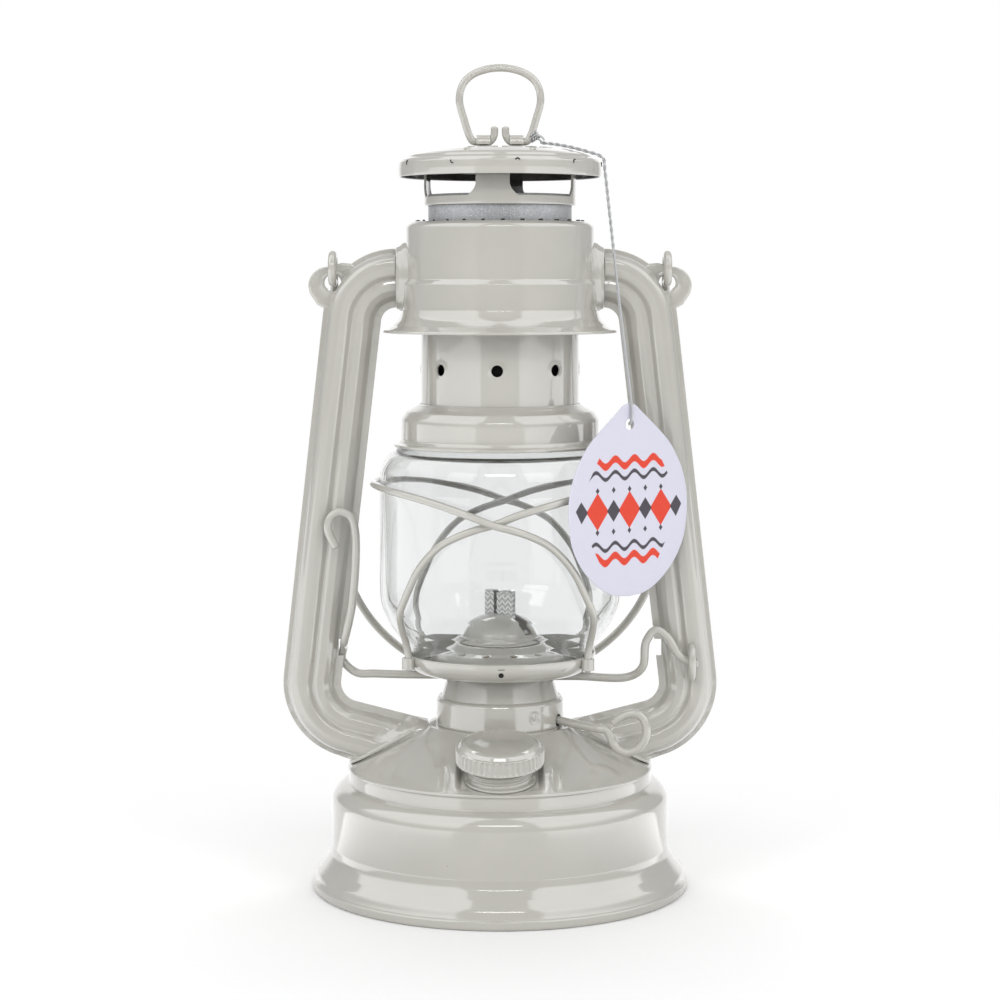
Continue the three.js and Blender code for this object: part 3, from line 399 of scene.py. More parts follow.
class Finish:
    # a material built round one Principled shader
    def __init__(self, name, constants):
        self.material = bpy.data.materials.new(name)
        self.material.use_nodes = True
        self.tree = self.material.node_tree
        self.shader = self.tree.nodes["Principled BSDF"]
        for socket, value in constants.items():
            self.give(socket, value)

    def node(self, kind, settings, sockets, output=0):
        # any node: its settings by name, its inputs by name or number, and the output that is used
        made = self.tree.nodes.new(kind)
        for key, value in settings.items():
            setattr(made, key, value)
        for key, value in sockets.items():
            self.plug(made.inputs[key], value)
        return Signal(self, made.outputs[output])

    def plug(self, socket, value):
        # a signal is linked to the socket, a plain value is set on it
        if isinstance(value, Signal):
            self.tree.links.new(value.socket, socket)
        else:
            socket.default_value = value

    def give(self, socket, value):
        # an input of the Principled shader
        self.plug(self.shader.inputs[socket], value)

    def painted(self, colour, roughness, relief):
        # the finished material, with these three given to its shader
        for socket, value in (("Base Color", colour), ("Roughness", roughness), ("Normal", relief)):
            self.give(socket, value)
        return self.material

    def place(self, shift=(0, 0, 0), scale=(1, 1, 1)):
        # object coordinates in metres, scaled and moved
        spot = self.node("ShaderNodeTexCoord", {}, {}, "Object")
        sockets = {"Vector": spot, "Location": shift, "Scale": scale}
        return self.node("ShaderNodeMapping", {}, sockets)

    def surface(self):
        # the piece's own two directions over its surface
        return self.split(self.node("ShaderNodeUVMap", {"uv_map": "surface"}, {}))

    def split(self, vector):
        # a vector's or a colour's three parts
        parts = self.tree.nodes.new("ShaderNodeSeparateXYZ")
        self.plug(parts.inputs[0], vector)
        return [Signal(self, out) for out in parts.outputs]

    def noise(self, scale, detail=2.0, roughness=0.5, at=None):
        # soft random values from 0 to 1, this many to a metre
        sockets = {"Vector": at or self.place(), "Scale": scale, "Detail": detail, "Roughness": roughness}
        return self.node("ShaderNodeTexNoise", {}, sockets)

    def cells(self, scale, output="Distance", at=None):
        # scattered cells, this many to a metre: the distance to the nearest middle, or a colour for each cell
        sockets = {"Vector": at or self.place(), "Scale": scale}
        return self.node("ShaderNodeTexVoronoi", {}, sockets, output)

    def blend(self, share, colourA, colourB):
        # colourA where share is 0, colourB where it is 1
        return self.node("ShaderNodeMix", {"data_type": "RGBA"}, {0: share, 6: colourA, 7: colourB}, 2)

    def relief(self, height, distance, strength, below=None):
        # a normal tilted by the height's slope, on top of the relief below it
        sockets = {"Height": height, "Distance": distance, "Strength": strength}
        if below is not None:
            sockets["Normal"] = below
        return self.node("ShaderNodeBump", {}, sockets)


def rgb(red, green, blue):
    # a colour as painted, from 0 to 255, in Blender's linear numbers
    return tuple(((c / 255 + 0.055) / 1.055) ** 2.4 for c in (red, green, blue)) + (1.0,)


# enamel: warm grey gloss paint over pressed steel, with a faint peel, small specks and cloudiness
enamelLook = {
    "gloss": {"IOR": 1.5, "Coat Weight": 1.0, "Coat IOR": 1.55, "Coat Roughness": 0.03, "Metallic": 0.0},
    "light": rgb(181, 179, 172), "dark": rgb(174, 172, 165), "speck": rgb(146, 144, 137),
    "paintedShade": rgb(40, 39, 37),
    "clouds": 70, "peel": 1300, "specks": 170, "picked": (0.955, 0.965), "speckSize": (0.075, 0.03),
    "waves": 240, "facesIn": (-2.0, -6.0), "facesDown": (-0.5, -0.8), "shadeNoise": 500,
}


def enamelFinish(name, peel=0.6, sheen=0.08, shadePainted=False, values=enamelLook):
    # colour and roughness drift with wide noise; the peel is fine noise; a few cells hold a speck under the
    # paint; with shadePainted, painted shade darkens the paint where its surface looks down or inwards
    look = Finish(name, values["gloss"])
    wide, fine = look.noise(values["clouds"], 3), look.noise(values["peel"], 1)
    pick = look.split(look.cells(values["specks"], "Color"))[0].ramp(*values["picked"])
    speck = look.cells(values["specks"]).ramp(*values["speckSize"]) * pick
    colour = look.blend(wide, values["dark"], values["light"])
    colour = look.blend(speck * 0.6, colour, values["speck"])
    # painted shade: faces that look inwards or downwards are blended towards a near black, with a little noise
    if shadePainted:
        normal = look.split(look.node("ShaderNodeNewGeometry", {}, {}, "Normal"))
        spot = look.split(look.place())
        outwards = (normal[0] * spot[0] + normal[1] * spot[1]) * 1000
        hidden = outwards.ramp(*values["facesIn"]) + normal[2].ramp(*values["facesDown"])
        paintedShade = hidden.maths("MINIMUM", 1.0) * (look.noise(values["shadeNoise"], 3) * 0.1 + 0.86)
        colour = look.blend(paintedShade, colour, values["paintedShade"])
    peeled = look.relief(fine, 0.00002 * peel, 0.3)
    raised = look.relief(speck + look.noise(values["waves"], 1) * 0.08, 0.00006, 0.4, peeled)
    return look.painted(colour, wide * 0.05 + fine * 0.02 + sheen, raised)


# zinc: galvanised sheet, bright rolled speckle over flat grey crystals; below the crown's edge, painted shade
zincLook = {
    "metal": {"Metallic": 0.82, "Specular IOR Level": 0.5}, "rolled": (1, 1, 0.55),
    "grey": (rgb(148, 150, 153), rgb(178, 180, 183)), "bright": rgb(226, 227, 229), "paintedShade": rgb(24, 22, 20),
    "crystals": 420, "speckles": 3600, "speckled": (0.5, 0.7), "smears": 160, "grain": 1500,
    "shadeHeight": (0.226, 0.214),
}


def zincFinish(values=zincLook):
    # crystals and smears share out two greys; speckles brighten them and are smoother; painted shade covers
    # what is low
    look = Finish("zincSheet", values["metal"])
    along = look.place(scale=values["rolled"])
    crystal = look.split(look.cells(values["crystals"], "Color", at=along))[0]
    speckle = look.noise(values["speckles"], 2, 0.7, along).ramp(*values["speckled"])
    smear = look.noise(values["smears"], 3, at=along)
    tone = look.blend(crystal * 0.4 + smear * 0.6, *values["grey"])
    # painted shade: below the crown's edge, inside the stack and crown, the flue is blended nearly to black
    shadePainted = look.split(look.place())[2].ramp(*values["shadeHeight"])
    speckled = look.blend(speckle * 0.6, tone, values["bright"])
    colour = look.blend(shadePainted * 0.97, speckled, values["paintedShade"])
    roughness = 0.5 - speckle * 0.2 + crystal * 0.1 + shadePainted * 0.3
    return look.painted(colour, roughness, look.relief(look.noise(values["grain"], 2, at=along), 0.00006, 0.5))


# Plain finishes: stamped brass with drawn lines, drawn spring wire, moulded black rubber with a dusty bloom
brassLook = {
    "constants": {"Metallic": 0.95}, "tones": (rgb(178, 150, 98), rgb(128.16, 108, 70.56)), "clouds": 90,
    "share": 0.6, "roughness": 0.24, "rougher": 0.2, "grain": (120, 4), "stretch": (1, 1, 14),
    "relief": (0.00003, 0.4),
}
springLook = {
    "constants": {"Metallic": 0.9}, "tones": (rgb(120, 121, 122), rgb(168, 169, 170)), "clouds": 700,
    "share": 1.0, "roughness": 0.28, "rougher": 0.2, "grain": (700, 3), "stretch": (1, 1, 1),
    "relief": (0.00004, 0.4),
}
rubberLook = {
    "constants": {"Specular IOR Level": 0.35}, "tones": (rgb(34, 33, 32), rgb(56, 55, 53)), "clouds": 300,
    "share": 1.0, "roughness": 0.68, "rougher": 0.18, "grain": (1800, 2), "stretch": (1, 1, 1),
    "relief": (0.00004, 0.5),
}


def plainFinish(name, values):
    # two tones shared out by wide noise, which roughens the surface too, and a grain in relief
    look = Finish(name, values["constants"])
    clouds = look.noise(values["clouds"], 3)
    grain = look.noise(*values["grain"], at=look.place(scale=values["stretch"]))
    colour = look.blend(clouds * values["share"], *values["tones"])
    roughness = clouds * values["rougher"] + values["roughness"]
    return look.painted(colour, roughness, look.relief(grain, *values["relief"]))


# glass: clear and pressed, with a slow waviness
glassLook = {
    "clear": {"Transmission Weight": 1.0, "IOR": 1.46, "Roughness": 0.0, "Base Color": rgb(243, 244, 244)},
    "shade": rgb(246, 247, 247), "waves": 38, "stretch": (1, 1, 0.4),
}


def glassFinish(values=glassLook):
    # noise tilts the surface a little; lamps shine through it, so what stands inside stays lit
    look = Finish("globeGlass", values["clear"])
    waves = look.noise(values["waves"], 2, at=look.place(scale=values["stretch"]))
    look.give("Normal", look.relief(waves, 0.0009, 0.22))
    clear = look.node("ShaderNodeBsdfTransparent", {}, {"Color": values["shade"]})
    shadow = look.node("ShaderNodeLightPath", {}, {}, "Is Shadow Ray")
    glass = Signal(look, look.shader.outputs[0])
    mixed = look.node("ShaderNodeMixShader", {}, {0: shadow, 1: glass, 2: clear})
    look.plug(look.tree.nodes["Material Output"].inputs["Surface"], mixed)
    return look.material


# wick: grey-white knitted cotton with a charred seam left of the middle, and painted shade in its stitch
# valleys and rib grooves
wickLook = {
    "cotton": {"Specular IOR Level": 0.25, "Sheen Weight": 0.3, "Sheen Roughness": 0.6},
    "tones": (rgb(158, 158, 157), rgb(243, 243, 242)), "groove": rgb(150, 150, 149), "char": rgb(22, 21, 20),
    "ribs": 4.75, "stitches": 6.3, "slant": 1.6, "fuzz": 2600, "seam": 0.38, "ragged": 4.4,
    "seamEdge": (0.082, 0.062),
}


def wickFinish(values=wickLook):
    # ribs of slanted stitches that meet in points: a sine along the strip, shifted by the place within the rib
    look = Finish("wickCotton", values["cotton"])
    across, along, _ = look.surface()
    rib = (across * values["ribs"]).maths("PINGPONG", 0.5)
    stitch = ((along * values["stitches"] + rib * values["slant"]) * fullTurn).maths("SINE") * 0.5 + 0.5
    groove = rib.ramp(0.07, 0.0).maths("MAXIMUM", rib.ramp(0.43, 0.5))
    fuzz = look.noise(values["fuzz"], 3, 0.7)
    # painted shade: the colour is darker in the stitch valleys and towards the groove colour between ribs; the
    # fuzz is the cotton's own tone
    shade = stitch.ramp(0.1, 0.7) * 0.75 + fuzz * 0.25
    tone = look.blend(groove * 0.5, look.blend(shade, *values["tones"]), values["groove"])
    ragged = (along * values["ragged"]).maths("PINGPONG", 0.5) * 0.07
    charred = ((across - values["seam"]).maths("ABSOLUTE") + ragged).ramp(*values["seamEdge"])
    relief = look.relief(stitch * (1 - groove) + fuzz * 0.3, 0.0003, 0.7)
    return look.painted(look.blend(charred, tone, values["char"]), 0.85 + fuzz * 0.1, relief)


# card: pale, with paper fibres and a plain print of its own, lozenges between rolling lines in two inks; a band
# is (height, half), a row of lozenges (height, pitch, size, shift), in millimetres
cardLook = {
    "card": (rgb(206, 205, 219), rgb(214, 213, 227)), "fibres": 900, "roll": (9, 1.3), "middle": 31,
    "reach": (25.2, 24.8), "soft": (0.22, 0.15),
    "red": {"ink": rgb(216, 58, 26), "bands": ((47, 1.3), (13.6, 1.3)), "lozenges": ((30.4, 15, 5.2, 0),)},
    "grey": {"ink": rgb(58, 53, 60), "bands": ((42.6, 0.7), (18.0, 0.7)),
             "lozenges": ((30.4, 15, 3.1, 7.5), (37.6, 7.5, 0.9, 0), (23.2, 7.5, 0.9, 0))},
}


def cardFinish(values=cardLook):
    # each ink is the sum of its marks inside the printed middle; fibres wear it a little, and ink is smoother
    look = Finish("tagCard", {"Specular IOR Level": 0.3})
    across, up, _ = look.surface()
    fibre = look.noise(values["fibres"], 4, 0.7)
    card = look.blend(fibre, *values["card"])
    length, swing = values["roll"]
    roll = (across * (fullTurn / length)).maths("SINE") * swing
    bandSoft, lozengeSoft = values["soft"]

    def band(height, half):
        # 1 within half of a rolling line at this height
        return (up - roll - height).maths("ABSOLUTE").ramp(half + bandSoft, half - bandSoft)

    def lozenges(height, pitch, size, shift):
        # 1 inside diamonds on a row: their two distances from the middle add up to less than their size
        side = (across + shift).maths("PINGPONG", pitch / 2)
        return (side + (up - height).maths("ABSOLUTE") * 0.8).ramp(size + lozengeSoft, size - lozengeSoft)

    printed = across.maths("ABSOLUTE") + (up - values["middle"]).maths("ABSOLUTE") * 0.6
    printed = printed.ramp(*values["reach"])
    red, grey = (sum([*(band(*mark) for mark in values[ink]["bands"]),
                      *(lozenges(*mark) for mark in values[ink]["lozenges"])]).maths("MINIMUM", 1.0) * printed
                 for ink in ("red", "grey"))
    worn = 1.0 - fibre * 0.06
    inked = look.blend(red * worn, card, values["red"]["ink"])
    colour = look.blend(grey * worn, inked, values["grey"]["ink"])
    roughness = 0.62 + fibre * 0.15 - (red + grey) * 0.12
    return look.painted(colour, roughness, look.relief(fibre, 0.00005, 0.4))


# silver: metallised thread, slanted plies that glint, with painted shade in the grooves between them
silverLook = {
    "tones": (rgb(128, 130, 133), rgb(232, 233, 235)), "plies": (1.15, 2), "flecks": 5200,
    "flecked": (0.42, 0.62),
}


def silverFinish(values=silverLook):
    # the plies are a sine that runs along and around the strand; flecks of fine noise glint
    look = Finish("silverThread", {"Specular IOR Level": 0.6})
    along, around, _ = look.surface()
    ply = ((along * values["plies"][0] + around * values["plies"][1]) * fullTurn).maths("SINE") * 0.5 + 0.5
    fleck = look.noise(values["flecks"], 2, 0.7).ramp(*values["flecked"])
    look.give("Metallic", 0.25 + fleck * 0.35)
    # painted shade: the colour falls to the darker tone in the grooves between the plies
    colour = look.blend(ply * 0.6 + fleck * 0.4, *values["tones"])
    return look.painted(colour, 0.5 - fleck * 0.2, look.relief(ply + fleck * 0.3, 0.00016, 0.9))


enamel = enamelFinish("enamel")
wireEnamel = enamelFinish("enamelWire", 1.4, 0.14)
# enamel with painted shade on its inward and downward faces, used for the hood and its carrier
shadePaintedEnamel = enamelFinish("enamelShadePainted", shadePainted=True)
zinc, brass = zincFinish(), plainFinish("burnerBrass", brassLook)
spring, rubber = plainFinish("springSteel", springLook), plainFinish("sealRubber", rubberLook)
globeGlass, wickCotton, tagCard, silverThread = glassFinish(), wickFinish(), cardFinish(), silverFinish()
print("finishes ready")


# Tag string: a doubled thread from the ring's foot, over the deck and the rim, down to the tag's hole
tagString = {
    "diameter": 0.0012, "strand": 0.62, "apart": 0.3, "twist": 5.5, "openFrom": 0.5, "openBy": 0.3,
    "route": [[0.0144, -0.0016, 0.2662], [0.0188, -0.0044, 0.2656], [0.025, -0.0076, 0.2643],
              [0.0312, -0.01, 0.2625], [0.0344, -0.0112, 0.2614], [0.0361, -0.012, 0.26],
              [0.0366, -0.0128, 0.256], [0.0388, -0.0166, 0.235], [0.0414, -0.0209, 0.21],
              [0.0442, -0.0254, 0.186], [0.0455, -0.0275, 0.1745], [0.0456, -0.0276, 0.1709],
              [0.0452, -0.0271, 0.1689], [0.0446, -0.0264, 0.1682]],
}


def strandsOf(route, values):
    # two strands wound round the route, half a turn apart; past openFrom they hang side by side
    way, side, up = carriedFrames(route)
    run = runAlong(route)
    share = run / run[-1]
    loose = smoothstep(values["openFrom"], values["openFrom"] + 0.12, share) * smoothstep(1.0, 0.93, share)
    turn = fullTurn * np.minimum(run, values["openFrom"] * run[-1]) / values["twist"]
    reach = values["apart"] + values["openBy"] * loose
    strands = []
    for start in (0, math.pi):
        away = (np.cos(turn + start) * reach)[:, None] * side + (np.sin(turn + start) * reach)[:, None] * up
        strands.append(wireAlong(route + away, values["strand"], 10))
    return strands


stringRoute = smoothPath(np.array(tagString["route"]) / mm, 24)
stringPiece = piece("tagThread", strandsOf(stringRoute, tagString), silverThread, "hood_stack",
                    ["tag_string"], 60)

# The knot: three wraps of the thread round the ring's right foot, and its two short ends
knot = {
    "wraps": 3, "radius": 1.75, "pitch": 0.85, "at": (12.1, 0, 268.3), "lean": -38,
    "ends": [[(13.2, -1.7, 267.6), (14.2, -2.3, 267), (14.6, -1.9, 266.4), (15.6, -1.4, 266)],
             [(13, -1.6, 268.4), (13.9, -2.6, 268.6), (15, -3, 267.9), (15.6, -3, 266.9)]],
}
wrapTurn = np.linspace(0, fullTurn * knot["wraps"], 24 * knot["wraps"])
wrapLine = np.c_[knot["radius"] * circle(wrapTurn), knot["pitch"] * (wrapTurn / fullTurn - knot["wraps"] / 2)]
wrapLine = wrapLine @ spun("y", knot["lean"]).T + np.array(knot["at"])
knotLines = [wrapLine, *[smoothPath(end, 8) for end in knot["ends"]]]
knotParts = [wireAlong(line, tagString["strand"], 10) for line in knotLines]
knotPiece = piece("tagThreadKnot", knotParts, silverThread, "hood_stack", (), 60)


# Tank: foot and wall drawn in one piece, with a rolled rim, a round shoulder and a hollow neck
tank = {
    "rim": 68.0, "rimInside": 64.8, "wall": 60.8, "neck": 54.3, "shoulder": 31.5, "neckTop": 43.4,
    "foot": [(67.1, 3.75, 0.35), (66.7, 4.7, 0.5), (66.1, 6.4, 5), (63.5, 9.6, 6), (61.3, 12.8, 4)],
    "step": 2.5, "segments": 192,
}


def arcPoints(x, y, radius, start, end, steps=12):
    # points along an arc about (x, y), angles in degrees
    turn = np.radians(np.linspace(start, end, steps))
    return [(x + radius * math.cos(t), y + radius * math.sin(t)) for t in turn]


swell = tank["wall"] - tank["neck"]
wallLine = [
    (tank["rimInside"], 0.9), (tank["rimInside"] + 0.6, 0, 0.6), (tank["rim"], 0, 1.5),
    (tank["rim"], 3.2, 1.2), *tank["foot"], (tank["wall"], 15.6, 4), (tank["wall"], 25),
    *arcPoints(tank["neck"], tank["shoulder"], swell, 0, 82),
    (tank["neck"] + 0.25, 38.15, 1.1), (tank["neck"] + 0.05, tank["neckTop"]),
]
piece("tankBody", [sheetRing(wallLine, tank["step"], tank["segments"])], enamel, "frame", ["tank_body"])

# Dome: a cone with a bay pressed into it, whose floor leans with the filler
domeShape = {
    "line": [(20.9, 58.7), (23.9, 58.75, 0.7), (25.9, 58.75, 1.6), (54.3, 43.75)], "wall": 0.84,
    "bayHalf": 15.0, "bayFront": -59.2, "bayBack": -25.8, "corner": 5, "draft": (-0.25, 1.9),
    "floorAt": (-42.2, 46.3), "lean": 10.5, "bayTurn": 36, "densePoints": 190, "widePoints": 210,
    "rings": [(20.9, 27, 22), (27, 54.5, 78)],
    "lip": ((0.3, 0.22), (0.42, 0.55), (0.36, 0.95), (0.1, 1.15), (-0.35, 1.0)),
}


def domeHeight(x, y, values=domeShape):
    # cone height at this distance from the middle; inside the bay, down to the leaning floor
    line = filleted(values["line"], 8)
    cone = np.interp(np.hypot(x, y), line[:, 0], line[:, 1])
    floor = values["floorAt"][1] + math.tan(turned(values["lean"])) * (y - values["floorAt"][0])
    corner, front, back = values["corner"], values["bayFront"], values["bayBack"]
    outX = np.abs(x) - (values["bayHalf"] - corner)
    outY = np.abs(y - (front + back) / 2) - ((back - front) / 2 - corner)
    beyond = np.hypot(np.maximum(outX, 0), np.maximum(outY, 0)) + np.minimum(np.maximum(outX, outY), 0)
    return cone - smoothstep(*values["draft"], corner - beyond) * np.maximum(cone - floor, 0)


def domePart(values=domeShape):
    # polar grid, closer round the bay; the underside is the same surface one wall lower
    bay = values["bayTurn"]
    near = np.linspace(-bay, bay, values["densePoints"])
    far = np.linspace(bay, 360 - bay, values["widePoints"])[1:-1]
    turn = np.radians(np.concatenate([near, far]) - 90)[None, :]
    inner, outer = (np.linspace(*ring) for ring in values["rings"])
    reach = np.concatenate([inner, outer[1:]])[:, None]
    x, y = reach * np.cos(turn), reach * np.sin(turn)
    top = np.stack([x, y, domeHeight(x, y)], -1)
    outwards = np.c_[circle(turn[0]), 0 * turn[0]]
    lip = [top[-1] + outwards * out - np.array([0, 0, drop]) for out, drop in values["lip"]]
    under = top[::-1] - np.array([0, 0, values["wall"]])
    return skin(np.concatenate([top, np.array(lip), under]))


piece("tankDome", [domePart()], enamel, "frame", ["tank_dome"])

# Filler: threaded neck, washer and knurled cap on the leaning filler axis
filler = {
    "at": (0, -42.2, 46.3), "lean": 10.5, "neck": 11.0, "bore": 9.8, "neckTop": 9.5, "pitch": 1.62,
    "thread": 0.55, "flange": 12.4, "cap": 15.3, "capLow": 7.0, "capInside": 11.7, "capBore": 12.3,
    "knurls": 46, "knurl": 0.5, "seal": (9.8, 11.4, 11.7),
}


def onFiller(part):
    # stands a part that is made upright at the middle on the filler's leaning foot
    return moved(part, spun("x", filler["lean"]), filler["at"])


def threadBend(radius, turn, height):
    # a rounded ridge winds up the neck's outside: a cosine of height less turn
    ridge = 0.5 + 0.5 * np.cos(fullTurn * (height / filler["pitch"]) - turn)
    zone = smoothstep(1.1, 1.9, height) * smoothstep(9.3, 8.7, height) * (radius > filler["neck"] - 0.3)
    return radius + filler["thread"] * zone * (ridge - 0.35), turn, height


neck, bore, flange = filler["neck"], filler["bore"], filler["flange"]
neckLoop = np.vstack([
    filleted([(bore, 0.3), (flange, 0.3), (flange, 1.0, 0.3), (neck, 1.15, 0.4), (neck, 1.5)]),
    np.stack([np.full(60, neck), np.linspace(1.6, 9.2, 60)], 1),
    [(neck - 0.2, filler["neckTop"]), (bore, filler["neckTop"])],
])
piece("fillerNeck", [onFiller(lathed(neckLoop, 120, threadBend))], enamel, "frame", ["filler_neck"])
low, high, edge = filler["seal"]
sealLoop = filleted([(bore, low), (edge, low, 0.2), (edge, high, 0.2), (bore, high, 0.2), (bore, low + 0.05)])
sealPart = onFiller(lathed(sealLoop, 96))
piece("fillerSeal", [sealPart], rubber, "cap_carrier", ["filler_seal"])


def knurlBend(radius, turn, height):
    # round grooves across the cap's band, fading out at its two edges
    groove = (0.5 - 0.5 * np.cos(filler["knurls"] * turn)) ** 0.8
    band = smoothstep(7.05, 7.5, height) * smoothstep(12.35, 11.7, height)
    return radius - filler["knurl"] * band * smoothstep(14.4, 14.8, radius) * groove, turn, height


capOutside = filleted([
    (filler["capBore"], filler["capLow"]), (filler["cap"], filler["capLow"], 0.3), (filler["cap"], 12.3, 0.5),
    (14.3, 12.55, 0.4), (13.5, 13.7, 0.9), (11.9, 14.15, 2), (0, 14.6),
])
capInside = [(0, filler["capInside"]), (filler["capBore"], filler["capInside"])]
capLoop = np.vstack([evenly(capOutside, 0.45), capInside])
piece("fillerCap", [onFiller(lathed(capLoop, 460, knurlBend))], enamel, "cap", ["filler_cap"])
print("tank and filler ready")


# Burner: collar with a stamped boss and the shaft's hole, air cone, slotted flame dome
burner = {
    "turn": -34, "shaftHeight": 63.2, "shaftOffset": 3.7, "dip": 5, "wire": 3.0, "core": 2.0, "shaftHole": 2.3,
    "collar": 23.0, "collarLow": 59.0, "collarTop": 68.6, "bossTurn": -58, "bossHeight": 63.9, "boss": 2.3,
    "bossDepth": 0.45, "cone": (21.6, 18.9), "coneLow": 66.2, "coneTop": 76.8, "floor": 71.6,
}


def onShaft(points):
    # the shaft's own frame, along +X, leaned by its dip, lifted to its height and turned with the wick
    points = np.asarray(points, float) @ spun("y", burner["dip"]).T
    points = points + np.array([0, burner["shaftOffset"], burner["shaftHeight"]])
    return points @ spun("z", burner["turn"]).T


def bossBend(radius, turn, height):
    # a round dish with a raised middle, stamped beside the shaft's hole
    off = turn - turned(burner["bossTurn"])
    away = np.hypot(np.arctan2(np.sin(off), np.cos(off)) * burner["collar"], height - burner["bossHeight"])
    dish = smoothstep(burner["boss"], burner["boss"] - 0.6, away) - 1.3 * smoothstep(1.2, 0.5, away)
    return radius - burner["bossDepth"] * dish, turn, height


collarLine = [
    (burner["collar"], burner["collarLow"]), (burner["collar"], 60, 0.3), (burner["collar"] - 0.1, 67.4, 0.5),
    (burner["collar"] - 0.35, 68.0, 0.4), (burner["collar"] - 0.95, burner["collarTop"]),
]
holePoints, holeFaces = rod(burner["shaftHole"], 9, 32)
holePoints = onShaft(holePoints @ spun("y", 90).T + np.array([burner["collar"], 0, 0]))
collarMesh = meshOf("burnerCollar", [sheetRing(collarLine, 0.35, 240, bend=bossBend)])
piece("burnerCollar", carve(collarMesh, [(holePoints, holeFaces)]), enamel, "frame", ["burner_collar"])

coneFoot, coneHead = burner["cone"]
coneLine = [
    (coneFoot, burner["coneLow"]), (coneFoot + 0.05, 68.4, 0.6), (coneFoot - 0.55, 69.0, 0.5),
    (coneHead, burner["coneTop"] - 0.5, 0.4), (coneHead - 0.4, burner["coneTop"]),
]
floorLow, floorEdge = burner["floor"] - sheetWall, coneHead - 0.5
coneFloor = np.array([(0, floorLow), (floorEdge, floorLow), (floorEdge, burner["floor"]), (0, burner["floor"])])
conePieces = [sheetRing(coneLine, 1, 160), lathed(coneFloor, 96, closed=False)]
piece("burnerCone", conePieces, enamel, "frame", ["burner_cone"])

# Knob: a straight wire shaft with a sharp bend and a nearly closed ring, given along the ring's own plane
knobRing = {
    "reach": 40.0, "turn": 17, "shaft": (11.5, 20.0, 38.0), "core": (-5.75, 0, 8, 17.2),
    "path": [(0.2, 0.1), (2.6, -0.2), (4.0, -2.3), (5.2, -5.0), (7.3, -7.0), (9.9, -7.8), (12.9, -6.9),
             (15.4, -4.6), (16.9, -1.6), (17.2, 1.3), (16.2, 4.2), (14.2, 6.0), (11.6, 6.3), (8.6, 5.2),
             (6.2, 3.6), (4.6, 2.2)],
}
ringWay = spun("z", -knobRing["turn"])[:, 0]
ringStart = onShaft([knobRing["reach"], 0, 0])
ringLine = [ringStart + ringWay * along + [0, 0, up] for along, up in knobRing["path"]]
shaftLine = np.vstack([onShaft([(x, 0, 0) for x in knobRing["shaft"]]), ringLine])
coreLine = onShaft([(x, 0, 0) for x in knobRing["core"]])
shaftPieces = [wireAlong(smoothPath(shaftLine, 10), burner["wire"]),
               wireAlong(smoothPath(coreLine, 4), burner["core"])]
piece("wickShaft", shaftPieces, wireEnamel, "wick_drive", ["wick_shaft"])

# Wick: a flat knitted strip, ribbed and a little ragged at its top, with its long tail in the tank
wickStrip = {
    "width": 12.0, "thickness": 1.9, "bottom": 27.0, "seen": 86, "top": 107.3, "points": 120, "plainRows": 20,
    "knittedRows": 110, "ribs": 4.75, "rib": 0.16, "stitch": 1.9, "slant": 1.6, "frayed": 2.5,
}


def wickPart(values=wickStrip):
    # a flattened ring at each height; its face swells and sinks with slanted stitches
    turn = np.linspace(0, fullTurn, values["points"], endpoint=False)[None, :]
    plain = np.linspace(values["bottom"], values["seen"], values["plainRows"])
    knitted = np.linspace(values["seen"], values["top"], values["knittedRows"])
    height = np.concatenate([plain, knitted[1:]])[:, None]
    half, thick = values["width"] / 2, values["thickness"] / 2
    x = np.clip(np.cos(turn) * 1.25, -1, 1) * half * np.ones_like(height)
    y = np.sin(turn) * thick * np.ones_like(height)
    y = np.sign(y) * np.minimum(np.abs(y) * 1.6, thick)
    rib = np.abs(((x / half + 1) * values["ribs"] / 2) % 1 - 0.5)
    stitch = np.sin(fullTurn * (height / values["stitch"] + rib * values["slant"]))
    y = y * (1 + values["rib"] * (stitch * 0.5 - smoothstep(0.12, 0.0, rib)))
    fray = 0.5 * np.sin(x * 2.1) + 0.35 * np.sin(x * 5.3 + 1)
    lift = smoothstep(values["top"] - values["frayed"], values["top"], height) * (fray - 0.85)
    ring = np.stack([x, y, height + lift], -1)
    points, faces = skin(shut(ring), False)
    along = np.concatenate([height[:1, 0], height[:, 0], height[-1:, 0]]) / values["width"]
    across = np.concatenate([x[0] / half, x[0][:1] / half]) * 0.5 + 0.5
    uv = cornerUv(len(ring) + 2, ring.shape[1], along, across)[..., ::-1]
    return points @ spun("z", burner["turn"]).T, faces, uv


piece("wick", [wickPart()], wickCotton, "wick_strip", ["wick"], 70)

# Flame dome: a pressed half ball with a slot over the wick
flame = {"radius": 13.5, "foot": 14.5, "base": 88.75, "crest": 98.5, "slot": (26.0, 5.4), "slotLow": 91.7}
brim = flame["base"] + sheetWall
domeArc = [(flame["radius"] * math.cos(t), brim + (flame["crest"] - brim) * math.sin(t))
           for t in np.linspace(0.06, math.pi / 2, 26)]
flameLine = filleted([(flame["foot"], brim), (flame["radius"] + 0.3, brim, 0.5), *domeArc])
flameMesh = meshOf("flameDome", [lathed(walled(flameLine, sheetWall), 144)])
slotTool = moved(slab(*flame["slot"], flame["slotLow"], flame["crest"] + 4), spun("z", burner["turn"]))
piece("flameDome", carve(flameMesh, [slotTool]), enamel, "globe_carriage", ["flame_dome"])

# Guard wires stand in sleeves on the plate, turned a little against the lantern's middle
guard = {
    "wire": 2.6, "wrap": 45.6, "crest": 145.5, "skew": -2.4, "foot": 36.0, "footTurn": 62, "inner": 45.1,
    "apart": 0.3,
}

